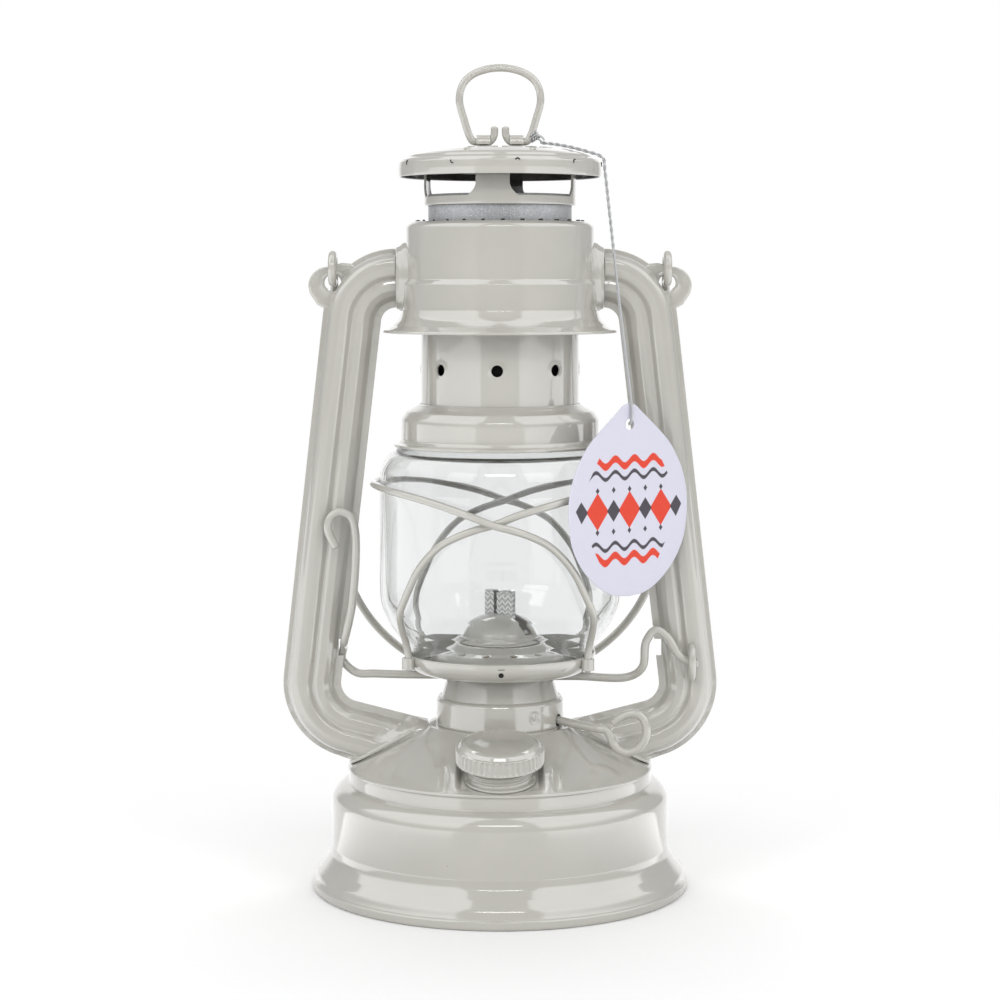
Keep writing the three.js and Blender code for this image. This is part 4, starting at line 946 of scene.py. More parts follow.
# Globe plate: stepped dish with a ring of vents, a small key hole in front and sleeves for the guard wires
plate = {
    "bowl": (28.0, 6.4), "edge": 84.6, "floor": 77.9, "step": (20.4, 84.9), "pit": 24.2, "segments": 192,
    "vents": 12, "vent": 1.4, "ventAt": (18.8, 85), "key": (0.4, -34.2, 81.3), "keyHole": 0.95,
    "keySlot": (2.4, 0.5, 83.4), "shade": (1.3, 0.3, -32.6), "sleeve": (1.6, 2.3, 4.2, 80.6),
}
bowlRadius, bowlRound = plate["bowl"]
plateLine = [
    (11.6, 88.0), (15.2, 88.0, 0.8), (16.9, 86.4, 1.0), (*plate["step"], 1.4), (22.3, 83.4, 1.6),
    (plate["pit"], plate["floor"], 1.4), (bowlRadius - 1, plate["floor"] - 0.05),
    *arcPoints(bowlRadius, plate["floor"] + bowlRound, bowlRound, -90, -4),
    (bowlRadius + bowlRound, plate["edge"]),
]
plateMesh = meshOf("globePlate", [sheetRing(plateLine, 1.2, plate["segments"])])
ventReach, ventHeight = plate["ventAt"]
ventTurn = [fullTurn * (k + 0.5) / plate["vents"] for k in range(plate["vents"])]
ventPlaces = [(ventReach * math.cos(t), ventReach * math.sin(t), ventHeight) for t in ventTurn]
ventTools = [moved(rod(plate["vent"], 14, 20), None, place) for place in ventPlaces]
keyX, keyY, keyZ = plate["key"]
slotWidth, slotHigh, slotAt = plate["keySlot"]
keyTools = [moved(rod(plate["keyHole"], 6, 20), spun("x", 90), plate["key"]),
            moved(slab(slotWidth, 6, -slotHigh / 2, slotHigh / 2), None, (keyX + 0.1, keyY, slotAt))]
plateMesh = carve(plateMesh, ventTools + keyTools)
piece("globePlate", plateMesh, enamel, "globe_carriage", ["globe_plate"])
# the key shade is a thin dark rubber disc just behind the key hole: painted shade inside the hole
shadeRadius, shadeThickness, shadeY = plate["shade"]
shadePart = moved(rod(shadeRadius, shadeThickness, 24), spun("x", 90), (keyX, shadeY, keyZ))
piece("keyShade", [shadePart], rubber, "globe_carriage")


def sleevePart(side, back):
    # an upright sleeve round the wire's foot
    inside, outside, tall, low = plate["sleeve"]
    loop = filleted([(inside, 0), (outside, 0, 0.15), (outside, tall, 0.15), (inside, tall, 0.15),
                     (inside, 0.05)])
    turn = side * turned(guard["footTurn"])
    foot = (guard["foot"] * math.sin(turn), -back * guard["foot"] * math.cos(turn), low)
    return moved(moved(lathed(loop, 36), None, foot), spun("z", guard["skew"]))


sleeves = [sleevePart(side, back) for side in (1, -1) for back in (1, -1)]
piece("guardClips", sleeves, enamel, "globe_carriage")

# Globe: a pressed glass barrel, 2 mm thick, with fire-rounded ends
globe = {
    "wall": 2.0, "foot": 80.5, "top": 166.5, "step": 2.0, "segments": 200,
    "barrel": [(32.4, 83.4, 4), (34.7, 88.6, 12), (39.2, 94.6, 16), (42.9, 102.5, 14), (43.2, 110.5, 16),
               (43.2, 143.8, 14), (42.7, 151.2, 12), (39.9, 156.5, 7), (33.7, 159.9, 4), (33.4, 163, 2)],
}
globeLine = [(31.6, globe["foot"]), *globe["barrel"], (33.4, globe["top"])]
globePart = sheetRing(globeLine, globe["step"], globe["segments"], globe["wall"], 10)
piece("globe", [globePart], globeGlass, "globe_carriage", ["globe"], 180)
print("burner and globe ready")

# Chimney: bell on the glass, perforated stack, zinc flue, crown with its flared skirt
chimney = {
    "bellLine": [(38.4, 159.25), (38.5, 159.9, 0.3), (36.4, 160.5, 0.6), (35.45, 161.6, 0.8),
                 (35.4, 168.9, 3.4), (33.6, 171.6, 2.5), (30.2, 173.4, 1.0), (29.1, 174.2)],
    "stack": 28.2, "stackLine": [(28.2, 171.4), (28.2, 203.6, 0.5), (27.5, 204.2, 0.3), (25.7, 204.2)],
    "hole": 2.05, "holes": 8, "holeHeight": 186.6, "holeTurn": -2, "rim": 0.22, "rimFrom": 3.3, "rimTo": 2.2,
    "flueLine": [(25.4, 176.0), (25.4, 247.6)],
    "crown": 34.9,
    "crownLine": [(41.7, 199.85), (41.4, 200.3, 0.3), (38.6, 201.9, 4), (36.0, 204.4, 4), (34.9, 207.6, 1.8),
                  (34.9, 216.5, 0.8), (34.1, 217.6, 0.7), (33.6, 218.2, 0.8), (33.6, 237.0, 2.4),
                  (31.8, 238.4, 1.4), (27, 238.45, 1), (25.85, 238.1)],
    "nicks": 27, "nickAt": (29.4, 238.62), "nickTurn": 0.35, "nickWire": 0.75,
    "nickLine": ((-0.5, -0.012), (0, 0.012), (0.5, 0.03)),
}
bellPart = sheetRing(chimney["bellLine"], 1.5, 176, rounding=8)
piece("globeBell", [bellPart], enamel, "hood_stack", ["globe_bell"])


def rimBend(radius, turn, height):
    # the sheet stands a little proud round each hole, as a punch leaves it
    pitch = fullTurn / chimney["holes"]
    along = (turn - turned(90 + chimney["holeTurn"]) + pitch / 2) % pitch - pitch / 2
    away = np.hypot(along * chimney["stack"], height - chimney["holeHeight"])
    return radius + chimney["rim"] * smoothstep(chimney["rimFrom"], chimney["rimTo"], away), turn, height


def holeTool(index):
    # a bar right through the stack, which cuts two holes that face each other
    way = spun("z", chimney["holeTurn"] + 360 / chimney["holes"] * index) @ spun("x", 90)
    return moved(rod(chimney["hole"], 90, 32), way, (0, 0, chimney["holeHeight"]))


stackMesh = meshOf("chimneyTube", [sheetRing(chimney["stackLine"], 0.6, 400, bend=rimBend)])
stackMesh = carve(stackMesh, *[[holeTool(k)] for k in range(chimney["holes"] // 2)])
piece("chimneyTube", stackMesh, enamel, "hood_stack", ["chimney_tube"])
piece("flueTube", [sheetRing(chimney["flueLine"], 3, 144)], zinc, "hood_stack", ["flue_tube"])


def nickMark(index):
    # a short dark dash across the crown's top edge, painted shade in the nick left before the sheet was turned
    # in
    reach, height = chimney["nickAt"]
    turn = fullTurn * (index + chimney["nickTurn"]) / chimney["nicks"]
    line = [((reach + out) * math.cos(turn + a), (reach + out) * math.sin(turn + a), height)
            for out, a in chimney["nickLine"]]
    return wireAlong(np.array(line), chimney["nickWire"], 8)


piece("crownNicks", [nickMark(k) for k in range(chimney["nicks"])], rubber, "frame")
piece("crown", [sheetRing(chimney["crownLine"], 1.5, 200, rounding=8)], enamel, "frame", ["crown"])

# Hood: a rain cap on a ring with four straps whose feet and heads flare out
hood = {
    "line": [(35.75, 254.05), (36.15, 254.1, 0.3), (36.3, 256.6, 2), (36.1, 259.0, 1.0), (35.2, 260.1, 0.7),
             (33.4, 260.6, 0.6), (32.7, 261.5, 0.6), (30.8, 262.2, 1), (26, 263.45, 4), (20.4, 264.2, 8),
             (10, 264.75, 8), (0, 264.9)],
    "brim": 36.2, "deck": 264.9, "stakes": 10, "stakeAt": 36.15, "stakeTurn": -80.5, "stakeHeight": 258.5,
    "stakeLean": 55, "stake": (0.75, 0.46, 150),
}
# the hood and its carrier carry painted shade on their inward and downward faces
piece("hood", [sheetRing(hood["line"], 0.9, 240, rounding=8)], shadePaintedEnamel, "hood_stack", ["hood"])


def stakeMark(index, values=hood):
    # a dark crescent wire laid half into the brim as painted shade in a stake mark; each leans further than the
    # last
    radius, wire, sweep = values["stake"]
    turn = np.radians(np.linspace(90 - sweep / 2, 90 + sweep / 2, 12) + values["stakeLean"] * index)
    middle = turned(values["stakeTurn"] + 360 / values["stakes"] * index)
    around = middle + radius * np.cos(turn) / values["brim"]
    line = [values["stakeAt"] * np.cos(around), values["stakeAt"] * np.sin(around),
            values["stakeHeight"] + radius * np.sin(turn)]
    return wireAlong(np.stack(line, -1), wire, 8)


piece("hoodStakes", [stakeMark(k) for k in range(hood["stakes"])], rubber, "hood_stack")

carrier = {
    "inside": 25.7, "radius": 27.0, "low": 243.9, "top": 247.4, "strap": 5.9, "foot": 9.2, "head": 6.5,
    "strapTop": 262.4, "straps": 4, "turn": -5.5, "sheet": 0.9, "rows": 30, "columns": 14,
}


def strapPart(turn, values=carrier):
    # a sheet on the ring's radius, whose half width flares at foot and head; both its ends are drawn shut
    height = np.linspace(values["top"] - 0.6, values["strapTop"], values["rows"])[:, None]
    share = (height - height[0]) / (height[-1] - height[0])
    foot = (values["foot"] - values["strap"]) * np.maximum(1 - share / 0.3, 0) ** 2
    head = (values["head"] - values["strap"]) * np.maximum((share - 0.72) / 0.28, 0) ** 2
    across = np.linspace(-1, 1, values["columns"])
    x = np.concatenate([across, across[::-1]])[None, :] * (values["strap"] + foot + head)
    inward = np.repeat([0, 0.9 * values["sheet"]], values["columns"])
    y = inward - np.sqrt(np.maximum(values["radius"] ** 2 - x**2, 1))
    return moved(skin(shut(np.stack([x, y, height + 0 * x], -1)), False), spun("z", turn))


inside, outside, low, top = (carrier[k] for k in ("inside", "radius", "low", "top"))
ringLoop = filleted([(inside + 0.05, low), (outside, low, 1.1), (outside, top, 0.7), (inside, top, 0.4),
                     (inside, low + 0.05)])
straps = [strapPart(carrier["turn"] + 360 / carrier["straps"] * k) for k in range(carrier["straps"])]
piece("hoodCarrier", [lathed(ringLoop, 160), *straps], shadePaintedEnamel, "hood_stack", ["hood_carrier"])
print("chimney and hood ready")

# Lugs and ring: two straps over the wire ring, whose ends turn up between them
topRing = {
    "wire": 2.7, "seat": 266.6, "lugAt": 5.9, "lugWidth": 4.8, "lugFoot": 2.6, "lugPlay": 0.3, "lugRise": 0.6,
    "edge": 0.12, "slim": 0.985, "crest": (0, 0, 292.4),
    "side": [(1.9, 272.0), (2.2, 268.49), (3.8, 266.6), (7.6, 266.6), (9.6, 266.85), (10.9, 268.9),
             (12.7, 274.4), (14.35, 281.3), (13.0, 286.8), (9.7, 290.0), (5.1, 291.8)],
}


def lugPart(side, values=topRing):
    # the strap's section, two flat feet and an arch over the wire, carried across its width with rounded edges
    inside = values["wire"] / 2 + values["lugPlay"]
    outside = inside + sheetWall
    low = hood["deck"] + values["lugRise"] - values["seat"]
    high, reach = low + sheetWall, outside + values["lugFoot"]
    arc = np.linspace(0, math.pi, 15)
    over, under = outside * circle(arc), inside * circle(arc)
    foot = np.array([(reach, low), (reach, high), (outside + 0.45, high), (outside + 0.1, high + 0.4)])
    loop = np.vstack([foot, over, (foot * [-1, 1])[::-1], [(-inside, low)], under[::-1], [(inside, low)]])
    middle, half = loop.mean(0), values["lugWidth"] / 2
    stops = [(-half, values["slim"]), (values["edge"] - half, 1), (0, 1), (half - values["edge"], 1),
             (half, values["slim"])]
    rows = []
    for x, share in stops:
        slim = middle + (loop - middle) * share
        rows.append(np.c_[np.full(len(loop), x + side * values["lugAt"]), slim + [0, values["seat"]]])
    return np.array(rows)


def capped(rows):
    # grid faces along the rows, with each end filled by quads across the sheet: the arch, then the two feet
    count, ring = rows.shape[:2]
    arch = [(4 + k, 5 + k, 37 - k, 38 - k) for k in range(14)]
    feet = [(0, 1, 2, 39), (39, 2, 3, 38), (3, 4, 38, 38), (22, 23, 20, 21), (23, 24, 19, 20), (24, 24, 18, 19)]
    end = np.array(arch + feet)
    faces = [gridFaces(count, ring, False, True), end[:, ::-1], end + (count - 1) * ring]
    return rows.reshape(-1, 3), np.concatenate(faces)


for label, side in bothSides:
    piece("hoodLug" + label, [capped(lugPart(side))], enamel, "hood_stack", ["hood_lug_" + label.lower()])

ringPath = [(-x, 0, z) for x, z in topRing["side"]] + [topRing["crest"]]
ringPath += [(x, 0, z) for x, z in reversed(topRing["side"])]
piece("topRing", [wireAlong(smoothPath(ringPath, 10), topRing["wire"])], wireEnamel, "ring", ["top_ring"])

# Air tubes: two pressed half shells with crimped flanges, swept from the crown to the tank's dome
duct = {
    "across": 10.4, "flange": 2.2, "lip": 0.6, "depth": 7.2, "step": 5.1, "start": 37.0, "height": 218.6,
    "topBend": 15.8, "lean": 6.6, "corner": 69.4, "footBend": 17.4, "footFall": 14.6, "footEnd": 27.0,
    "notchX": 56.1, "notchWide": 4, "notch": (83.2, 89.2), "crimp": 6.0, "crimpDepth": 0.22, "creases": 32,
}
ear = {
    "x": 61.3, "z": 215.8, "radius": 6.8, "thickness": 1.2, "holeX": 59.4, "holeZ": 216.9, "hole": 3.0,
    "round": (-25, 90, 40), "webTurn": [104, 122, 140, 160, 180, 200, 222, 240, 255, 275, 300],
    "webReach": [7.6, 9.6, 12.2, 13.4, 13.0, 12.6, 11.4, 9.8, 9.0, 8.2, 7.6],
    "stops": [(0.0, 0.0), (0.0, 0.5), (0.05, 0.75), (0.2, 1.0), (0.3, 0.8), (0.45, 0.55), (0.7, 0.55),
              (0.8, 0.8), (0.9, 1.05), (0.98, 0.8), (1.0, 0.4), (1.0, 0.0)],
}


def ductLine(values=duct):
    # the tube's middle line in the XZ plane, with its direction: a bend, a leaning leg, a knee, a straight foot
    lean = turned(values["lean"] - 90)
    turn = np.linspace(0, lean, 22)
    top = np.stack([values["start"] - values["topBend"] * np.sin(turn),
                    values["height"] - values["topBend"] * (1 - np.cos(turn)), turn], -1)
    swing = turned(values["footFall"] - 180) - lean
    length = (values["corner"] - top[-1, 0]) / math.cos(lean) - values["footBend"] * math.tan(-swing / 2)
    leg = ahead(top[-1], length, 44)
    centre = leg[-1, :2] + values["footBend"] * np.array([math.sin(lean), -math.cos(lean)])
    turn = np.linspace(lean, lean + swing, 30)[1:]
    knee = np.stack([centre[0] - values["footBend"] * np.sin(turn),
                     centre[1] + values["footBend"] * np.cos(turn), turn], -1)
    return np.vstack([top, leg, knee, ahead(knee[-1], values["footEnd"], 24)])


def ahead(start, length, steps):
    # the straight line from a stop on in its own direction, without the stop itself
    x, z, turn = start
    run = np.linspace(0, length, steps)[1:]
    return np.stack([x + run * math.cos(turn), z + run * math.sin(turn), np.full(len(run), turn)], -1)


def ductSection(values=duct):
    # half of the section: flange, broad round bulge, groove, second ridge, flange; then its mirror image
    a, f, lip, depth, step = (values[k] for k in ("across", "flange", "lip", "depth", "step"))
    half = filleted([
        (a, 0), (a, lip, 0.25), (a - f, lip, 0.8), (0.83 * a - 0.4, depth * 0.5, 2.2),
        (0.66 * a, depth * 0.95, 2.6), (0.36 * a, depth, 3.0), (0.1 * a, depth * 0.92, 2.2),
        (-0.06 * a, step * 0.93, 0.9), (-0.2 * a, step * 1.02, 1.2), (-0.42 * a, step * 0.95, 1.8),
        (-0.62 * a, step * 0.66, 2.0), (f - a + 0.3, lip, 0.8), (-a, lip, 0.25), (-a, 0),
    ])
    return np.vstack([half, (half * [1, -1])[::-1][1:-1]])


# Where the foot sits: a plane just above the dome's cone, and the flat lip on it
seat = {
    "at": (25.9, 58.95), "slope": 27.85, "flare": 5.0, "tubeHalf": 7.5, "tubeRound": 3.2, "middle": 40.9,
    "half": (15.0, 8.3), "sheet": 1.1, "squareness": 3.0, "points": 96,
}


def aboveSeat(x, z):
    # distance from the seat's plane, upwards
    slope = turned(seat["slope"])
    return (x - seat["at"][0]) * math.sin(slope) + (z - seat["at"][1]) * math.cos(slope)


def lipPart(values=seat):
    # a rounded oblong ring lying on the seat; its section is a flat sheet whose inner edge turns up to the tube
    turn = np.linspace(0, fullTurn, values["points"], endpoint=False)
    unit = np.sign(circle(turn)) * np.abs(circle(turn)) ** (2 / values["squareness"])
    sheet = values["sheet"]
    loop = [(-2.2, 0.0), (-2.2, 1.6), (-1.3, sheet + 0.9), (-0.95, sheet + 0.3), (-0.6, sheet), (-0.15, sheet),
            (-0.02, sheet - 0.15), (0.02, sheet * 0.5), (-0.05, 0.12), (-0.3, 0.0)]
    slope = turned(values["slope"])
    sine, cosine = math.sin(slope), math.cos(slope)
    start = values["at"][1] - (values["middle"] - values["at"][0]) * math.tan(slope)
    rows = []
    for out, up in loop:
        along, y = (unit * (np.array(values["half"]) + out)).T
        rows.append(np.stack([values["middle"] + along * cosine + up * sine, y,
                              start - along * sine + up * cosine], -1))
    return skin(np.array(rows))


def ductPart(values=duct):
    # the section at every station, flanges crimped by a small wave, both ends drawn shut; near the seat it
    # gives way to a plain rounded outline
    line, section = ductLine(), ductSection()
    u, v = section[None, :, 0], section[None, :, 1]
    run = runAlong(line[:, :2])[:, None]
    flat = smoothstep(values["across"] - values["flange"], values["across"] - 1.4, np.abs(u))
    wave = 0.5 + 0.5 * np.cos(fullTurn * run / values["crimp"])
    crimp = 1 - values["crimpDepth"] * flat * smoothstep(0.75, 0.98, wave)
    x = line[:, 0:1] - u * np.sin(line[:, 2:3])
    z = line[:, 1:2] + u * np.cos(line[:, 2:3])
    near = smoothstep(seat["flare"], 0.8, aboveSeat(x, z)) * (run > run[-1] * 0.6)
    power = seat["tubeRound"]
    plain = seat["tubeHalf"] * np.maximum(1 - np.abs(u / (values["across"] + 0.05)) ** power, 0) ** (1 / power)
    y = v * crimp * (1 - near) + np.sign(v) * plain * near
    return skin(shut(np.stack([x, y, z], -1)), False)


def earPart(values=ear):
    # a round plate with a web back to the tube: rings shrink from its outline to the hole's raised rim
    around = np.radians(np.concatenate([np.linspace(*values["round"]), values["webTurn"]]))
    reach = np.concatenate([np.full(values["round"][2], values["radius"]), values["webReach"]])[:, None]
    outline = (values["x"], values["z"]) + reach * circle(around)
    hole = (values["holeX"], values["holeZ"]) + values["hole"] * circle(around)
    ring = values["stops"] + [(share, -y) for share, y in reversed(values["stops"][1:-1])]
    rows = []
    for share, y in ring:
        flat = outline + (hole - outline) * share
        rows.append(np.c_[flat[:, 0], np.full(len(flat), y * values["thickness"] * 0.625), flat[:, 1]])
    return skin(np.array(rows))


notchTool = moved(slab(duct["notchWide"], 4, *duct["notch"]), None, (duct["notchX"], 0, 0))
earTool = moved(rod(ear["hole"], 4, 40), spun("x", 90), (ear["holeX"], 0, ear["holeZ"]))
ductMesh = carve(meshOf("airTube", [ductPart()]), [notchTool, earTool], creases=duct["creases"])
for label, side in bothSides:
    mesh = ductMesh.copy()
    if side < 0:
        mesh.transform(((-1, 0, 0, 0), (0, 1, 0, 0), (0, 0, 1, 0), (0, 0, 0, 1)))
        mesh.flip_normals()
    piece("airTube" + label, mesh, enamel, "frame", ["air_tube_" + label.lower()])
    piece("bailEar" + label, [moved(earPart(), scale=(side, 1, 1))], enamel, "frame")
    piece("tubeLip" + label, [moved(lipPart(), scale=(side, 1, 1))], enamel, "frame")

# Sockets: sleeves drawn out of the crown round the tubes' upper ends
socket = {
    "across": 11.1, "depth": 8.4, "points": 64, "follow": 0.8,
    "stops": [(33.0, 1.16), (34.4, 1.13), (35.2, 1.07), (36.0, 1.015), (36.5, 1.0), (36.75, 0.985),
              (36.8, 0.95), (36.7, 0.9), (35.8, 0.88), (33.0, 0.88)],
}


def socketPart(side, values=socket):
    # rings of the tube's outline at each stop outwards; the wide ones follow the crown's round wall
    turn = np.linspace(0, fullTurn, values["points"], endpoint=False)[None, :]
    x, share = np.array(values["stops"]).T[..., None]
    y, z = values["depth"] * share * np.cos(turn), values["across"] * share * np.sin(turn)
    inward = np.sqrt(np.maximum(chimney["crown"] ** 2 - y**2, 1)) - chimney["crown"]
    x = x + inward * (share > 0.99) * values["follow"]
    return skin(np.stack([side * x, y, duct["height"] + z], -1))


for label, side in bothSides:
    piece("tubeSocket" + label, [socketPart(side)], enamel, "frame", ["tube_socket_" + label.lower()])
print("tubes ready")

# Guard wires: each rises from the plate, crosses front and back in turn and rounds the far side of the glass
guardFeet = [(62, 36.0, 79.9), (61, 36.2, 85), (60, 37.4, 90), (54.5, 41.3, 96.5), (47.5, 45.3, 103)]
guardOver = [(41.8, 110.6), (36.8, 117.2), (30.3, 123.2), (23.4, 127.8), (15.4, 131), (7.6, 133.3), (0, 135),
             (-11.6, 138.5), (-23.9, 141.1), (-38, 143.4), (-57.4, 145)]
guardStops = guardFeet + [(turn, guard["wrap"], height) for turn, height in guardOver]


def guardLine(crossing, side, values=guard):
    # stops of turn, distance and height up one side and over the cross, where the distance gives way to the
    # other wire; then mirrored front to back
    turn, reach, height = np.array(guardStops).T
    reach = reach + (crossing - reach) * smoothstep(21, 8, np.abs(turn))
    way = np.stack([-reach * np.sin(np.radians(turn)), -reach * np.cos(np.radians(turn)), height], -1)
    line = np.vstack([way, [(values["wrap"], 0, values["crest"])], (way * [1, -1, 1])[::-1]])
    return line * [side, 1, 1] @ spun("z", values["skew"]).T


for label, side in bothSides:
    crossing = guard["inner"] + (guard["wire"] + guard["apart"] if side > 0 else 0)
    line = smoothPath(guardLine(crossing, -side), 8)
    piece("guardWire" + label, [wireAlong(line, guard["wire"])], wireEnamel, "globe_carriage",
          ["guard_wire_" + label.lower()])

# Bail: hooks through the ears, straight arms and a half round bow
bail = {
    "wire": 3.0, "hook": 5.0, "reach": 107.6, "lean": 18, "bow": 59.4, "pivot": 221.9, "hookFrom": 305,
    "armStops": (0.03, 0.5),
}


def bailPoint(x, down, values=bail):
    # a point on the hanging arm's plane, this far down from the pivot
    c, s = math.cos(turned(values["lean"])), math.sin(turned(values["lean"]))
    return (x, values["hook"] * c + down * s, values["pivot"] + values["hook"] * s - down * c)


def bailLine(values=bail):
    # a hook round the ear's hole and an arm, the bow, and the same arm and hook mirrored
    bow, reach, hook = values["bow"], values["reach"], values["hook"]
    turn = np.radians(np.linspace(values["hookFrom"], values["lean"], 11))
    arm = [(-bow, hook * math.cos(t), values["pivot"] + hook * math.sin(t)) for t in turn]
    arm += [bailPoint(-bow, reach * share) for share in values["armStops"]]
    sweep = [bailPoint(-bow * math.cos(t), reach + bow * math.sin(t)) for t in np.linspace(0, math.pi, 13)]
    return [*arm, *sweep, *[(-x, y, z) for x, y, z in reversed(arm)]]


piece("bail", [wireAlong(smoothPath(bailLine(), 12), bail["wire"])], wireEnamel, "carrying_bail", ["bail"])

# Lift lever: a handle loop, a run under the plate with a bow behind the wick tube, and a hump to the eyelet
lever = {
    "wire": 3.0, "pivot": (56.3, 86.2), "run": 75.9, "trail": 4.2, "bow": 8.6, "front": 9.4,
    "eye": (68.4, 82.0), "hump": 11.6, "loop": 5.0, "loopHeight": 130.8, "tip": 2.4, "bowAt": 5.04,
    "leftStop": -20.4, "rightStop": 28.0,
    "handle": [(-0.36, -1.56), (-0.96, -0.1), (-0.72, 0.7), (-0.1, 1.04), (0.64, 0.74), (0.98, -0.36)],
    "eyeWire": 2.6, "eyeHeight": 11.0, "eyeFoot": 6.3, "eyeMiddle": 10.0, "eyeOut": 12.5,
}


def leverLine(values=lever):
    # the stops from the handle's tip on the left to the wire's end in the eyelet on the right
    (pivotX, pivotZ), (eyeX, eyeZ) = values["pivot"], values["eye"]
    wireSize, loop, front, run, hump = (values[k] for k in ("wire", "loop", "front", "run", "hump"))

    def along(x):
        # a stop of the run under the plate, which comes forward evenly from left to right
        return (x, -front * (x + pivotX) / (eyeX + pivotX) + values["trail"], run)

    rise, start = values["loopHeight"] - pivotZ, eyeX - 1.5 * hump
    handle = [(-pivotX + loop * a, -front - wireSize / 5, values["loopHeight"] + loop * b)
              for a, b in values["handle"]]
    return [
        *handle, (-pivotX + loop * 0.76, -front, pivotZ + rise * 0.4),
        (-pivotX + loop * 0.16, -front * 0.74, pivotZ + rise * 0.085), (-pivotX, 0, pivotZ),
        (-pivotX - wireSize / 4, values["trail"] * 0.8, (pivotZ + run) / 2),
        (-pivotX + wireSize * 1.4, values["trail"], run + wireSize * 0.1), along(-pivotX * 0.8),
        along(values["leftStop"]), (-values["bowAt"], values["bow"], run), along(values["bowAt"] * 2.4),
        along(values["rightStop"]), along(start - wireSize * 1.6),
        (start, -front * 0.7, eyeZ - wireSize * 0.7),
        (start + wireSize * 0.4, -front * 0.88, eyeZ + hump * 0.64),
        (eyeX - hump * 1.1, -front * 0.9, eyeZ + hump), (eyeX - hump * 0.72, -front * 0.93, eyeZ + hump * 0.74),
        (eyeX - hump * 0.4, -front, eyeZ + hump * 0.24), (eyeX, -front, eyeZ),
        (eyeX + values["tip"], -front, eyeZ - values["tip"] / 3),
    ]


piece("liftLever", [wireAlong(smoothPath(leverLine(), 12), lever["wire"])], wireEnamel, "lever", ["lift_lever"])
eyeX, eyeZ = lever["eye"]
eyeSide = [(-lever["eyeFoot"], 1), (-lever["eyeMiddle"], 1), (-lever["eyeOut"], 0.6)]
eyeSide += [(y, -up) for y, up in reversed(eyeSide)]
eyeLine = [(eyeX, y, eyeZ + up * lever["eyeHeight"] / 2) for y, up in eyeSide]
piece("leverEye", [wireAlong(smoothPath(eyeLine, 10), lever["eyeWire"])], wireEnamel, "frame", ["lever_eye"])
print("wires ready")

# Tag: a drop-shaped card, turned to hang beside the tubes, with its punched hole
tag = {
    "width": 56.0, "height": 67.4, "thickness": 0.6, "low": 108.2, "out": 49.2, "slide": 17.2, "turn": 40,
    "hole": 2.0, "holeUp": 0.89,
    "shares": [(0, 0), (.27, .014), (.5, .06), (.73, .14), (.87, .22), (.955, .3), (1, .44), (.985, .54),
               (.91, .64), (.82, .71), (.68, .79), (.46, .87), (.2, .955), (.1, .988), (0, 1)],
    "stops": [(0.0, 0.35), (0.003, 0.8), (0.01, 1.0), *[(s, 1.0) for s in np.linspace(0.05, 0.95, 14)],
              (0.99, 1.0), (1.0, 0.8)],
}


def tagPart(values=tag):
    # rings from the card's smooth outline to its hole, front and back, with a slightly rounded edge
    side = smoothPath([(a * values["width"] / 2, 0, b * values["height"]) for a, b in values["shares"]], 6)
    outline = np.vstack([side, (side * [-1, 1, 1])[::-1][1:-1]])[:, [0, 2]]
    holeAt = np.array([0, values["holeUp"] * values["height"]])
    around = np.arctan2(*(outline - holeAt)[:, ::-1].T)
    hole = holeAt + values["hole"] * circle(around)
    stops = values["stops"] + [(share, -y) for share, y in reversed(values["stops"])]
    share, y = np.array(stops).T[..., None]
    flat = outline + (hole - outline) * share[..., None]
    depth = y * values["thickness"] / 2 * np.ones(len(outline))
    points, faces = skin(np.stack([flat[..., 0], depth, flat[..., 1]], -1))
    place = points + [values["slide"], -values["out"], values["low"]]
    return place @ spun("z", values["turn"]).T, faces, flat.reshape(-1, 2)[faces]


piece("swingTag", [tagPart()], tagCard, "hood_stack", ["swing_tag"], 50)

# CAD nodes that keep their own meshes get the finish of what they are
kept = {"tank_bottom": enamel, "crown_floor": enamel, "wick_tube": brass, "wick_spur_left": brass,
        "wick_spur_right": brass, "chimney_spring": spring}
for name, look in kept.items():
    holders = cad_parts[name]
    for holder in holders if isinstance(holders, list) else [holders]:
        for slotted in holder.material_slots:
            slotted.material = look
print("tag ready, CAD nodes dressed")


# Light: two soft boxes at the sides that are never mirrored, a high bar in front that is, for the small glints,
# and one lamp above and behind that gives the floor its shadow
lights = {
    "left": {"at": (-0.62, -0.72, 0.6), "size": (0.5, 0.6), "power": 2.5, "mirrored": False},
    "right": {"at": (0.62, -0.72, 0.6), "size": (0.5, 0.6), "power": 2.5, "mirrored": False},
    "top": {"at": (0.0, 0.45, 0.92), "size": (0.8, 0.5), "power": 3.8, "mirrored": False},
    "bar": {"at": (0.0, -0.9, 0.74), "size": (0.52, 0.1), "power": 1.3, "mirrored": True},
}


def softBox(name, values, aim=(0, 0, 0.14)):
    # a rectangular lamp that faces the lantern's middle
    lamp = bpy.data.lights.new(name, "AREA")
    lamp.shape, lamp.energy = "RECTANGLE", values["power"]
    lamp.size, lamp.size_y = values["size"]
    thing = shown(name, lamp)
    thing.location, thing.visible_glossy = values["at"], values["mirrored"]
    thing.rotation_euler = (Vector(values["at"]) - Vector(aim)).to_track_quat("Z", "Y").to_euler()


for name, values in lights.items():
    softBox(name + "SoftBox", values)

# Room: even light from the front and a dimmer one from behind; what the lantern mirrors is a pale room with a
# dark gap in front, panels that brighten upwards at both sides and a backdrop; sides darken the glass's edges
room = {
    "front": 0.76, "back": 0.56, "gap": 0.5, "panel": 0.22, "raised": 1.7, "backdrop": 1.15, "sides": 0.65,
}


class RoomFinish(Finish):
    # the same node tools on the world's tree
    def __init__(self, world):
        self.tree = world.node_tree


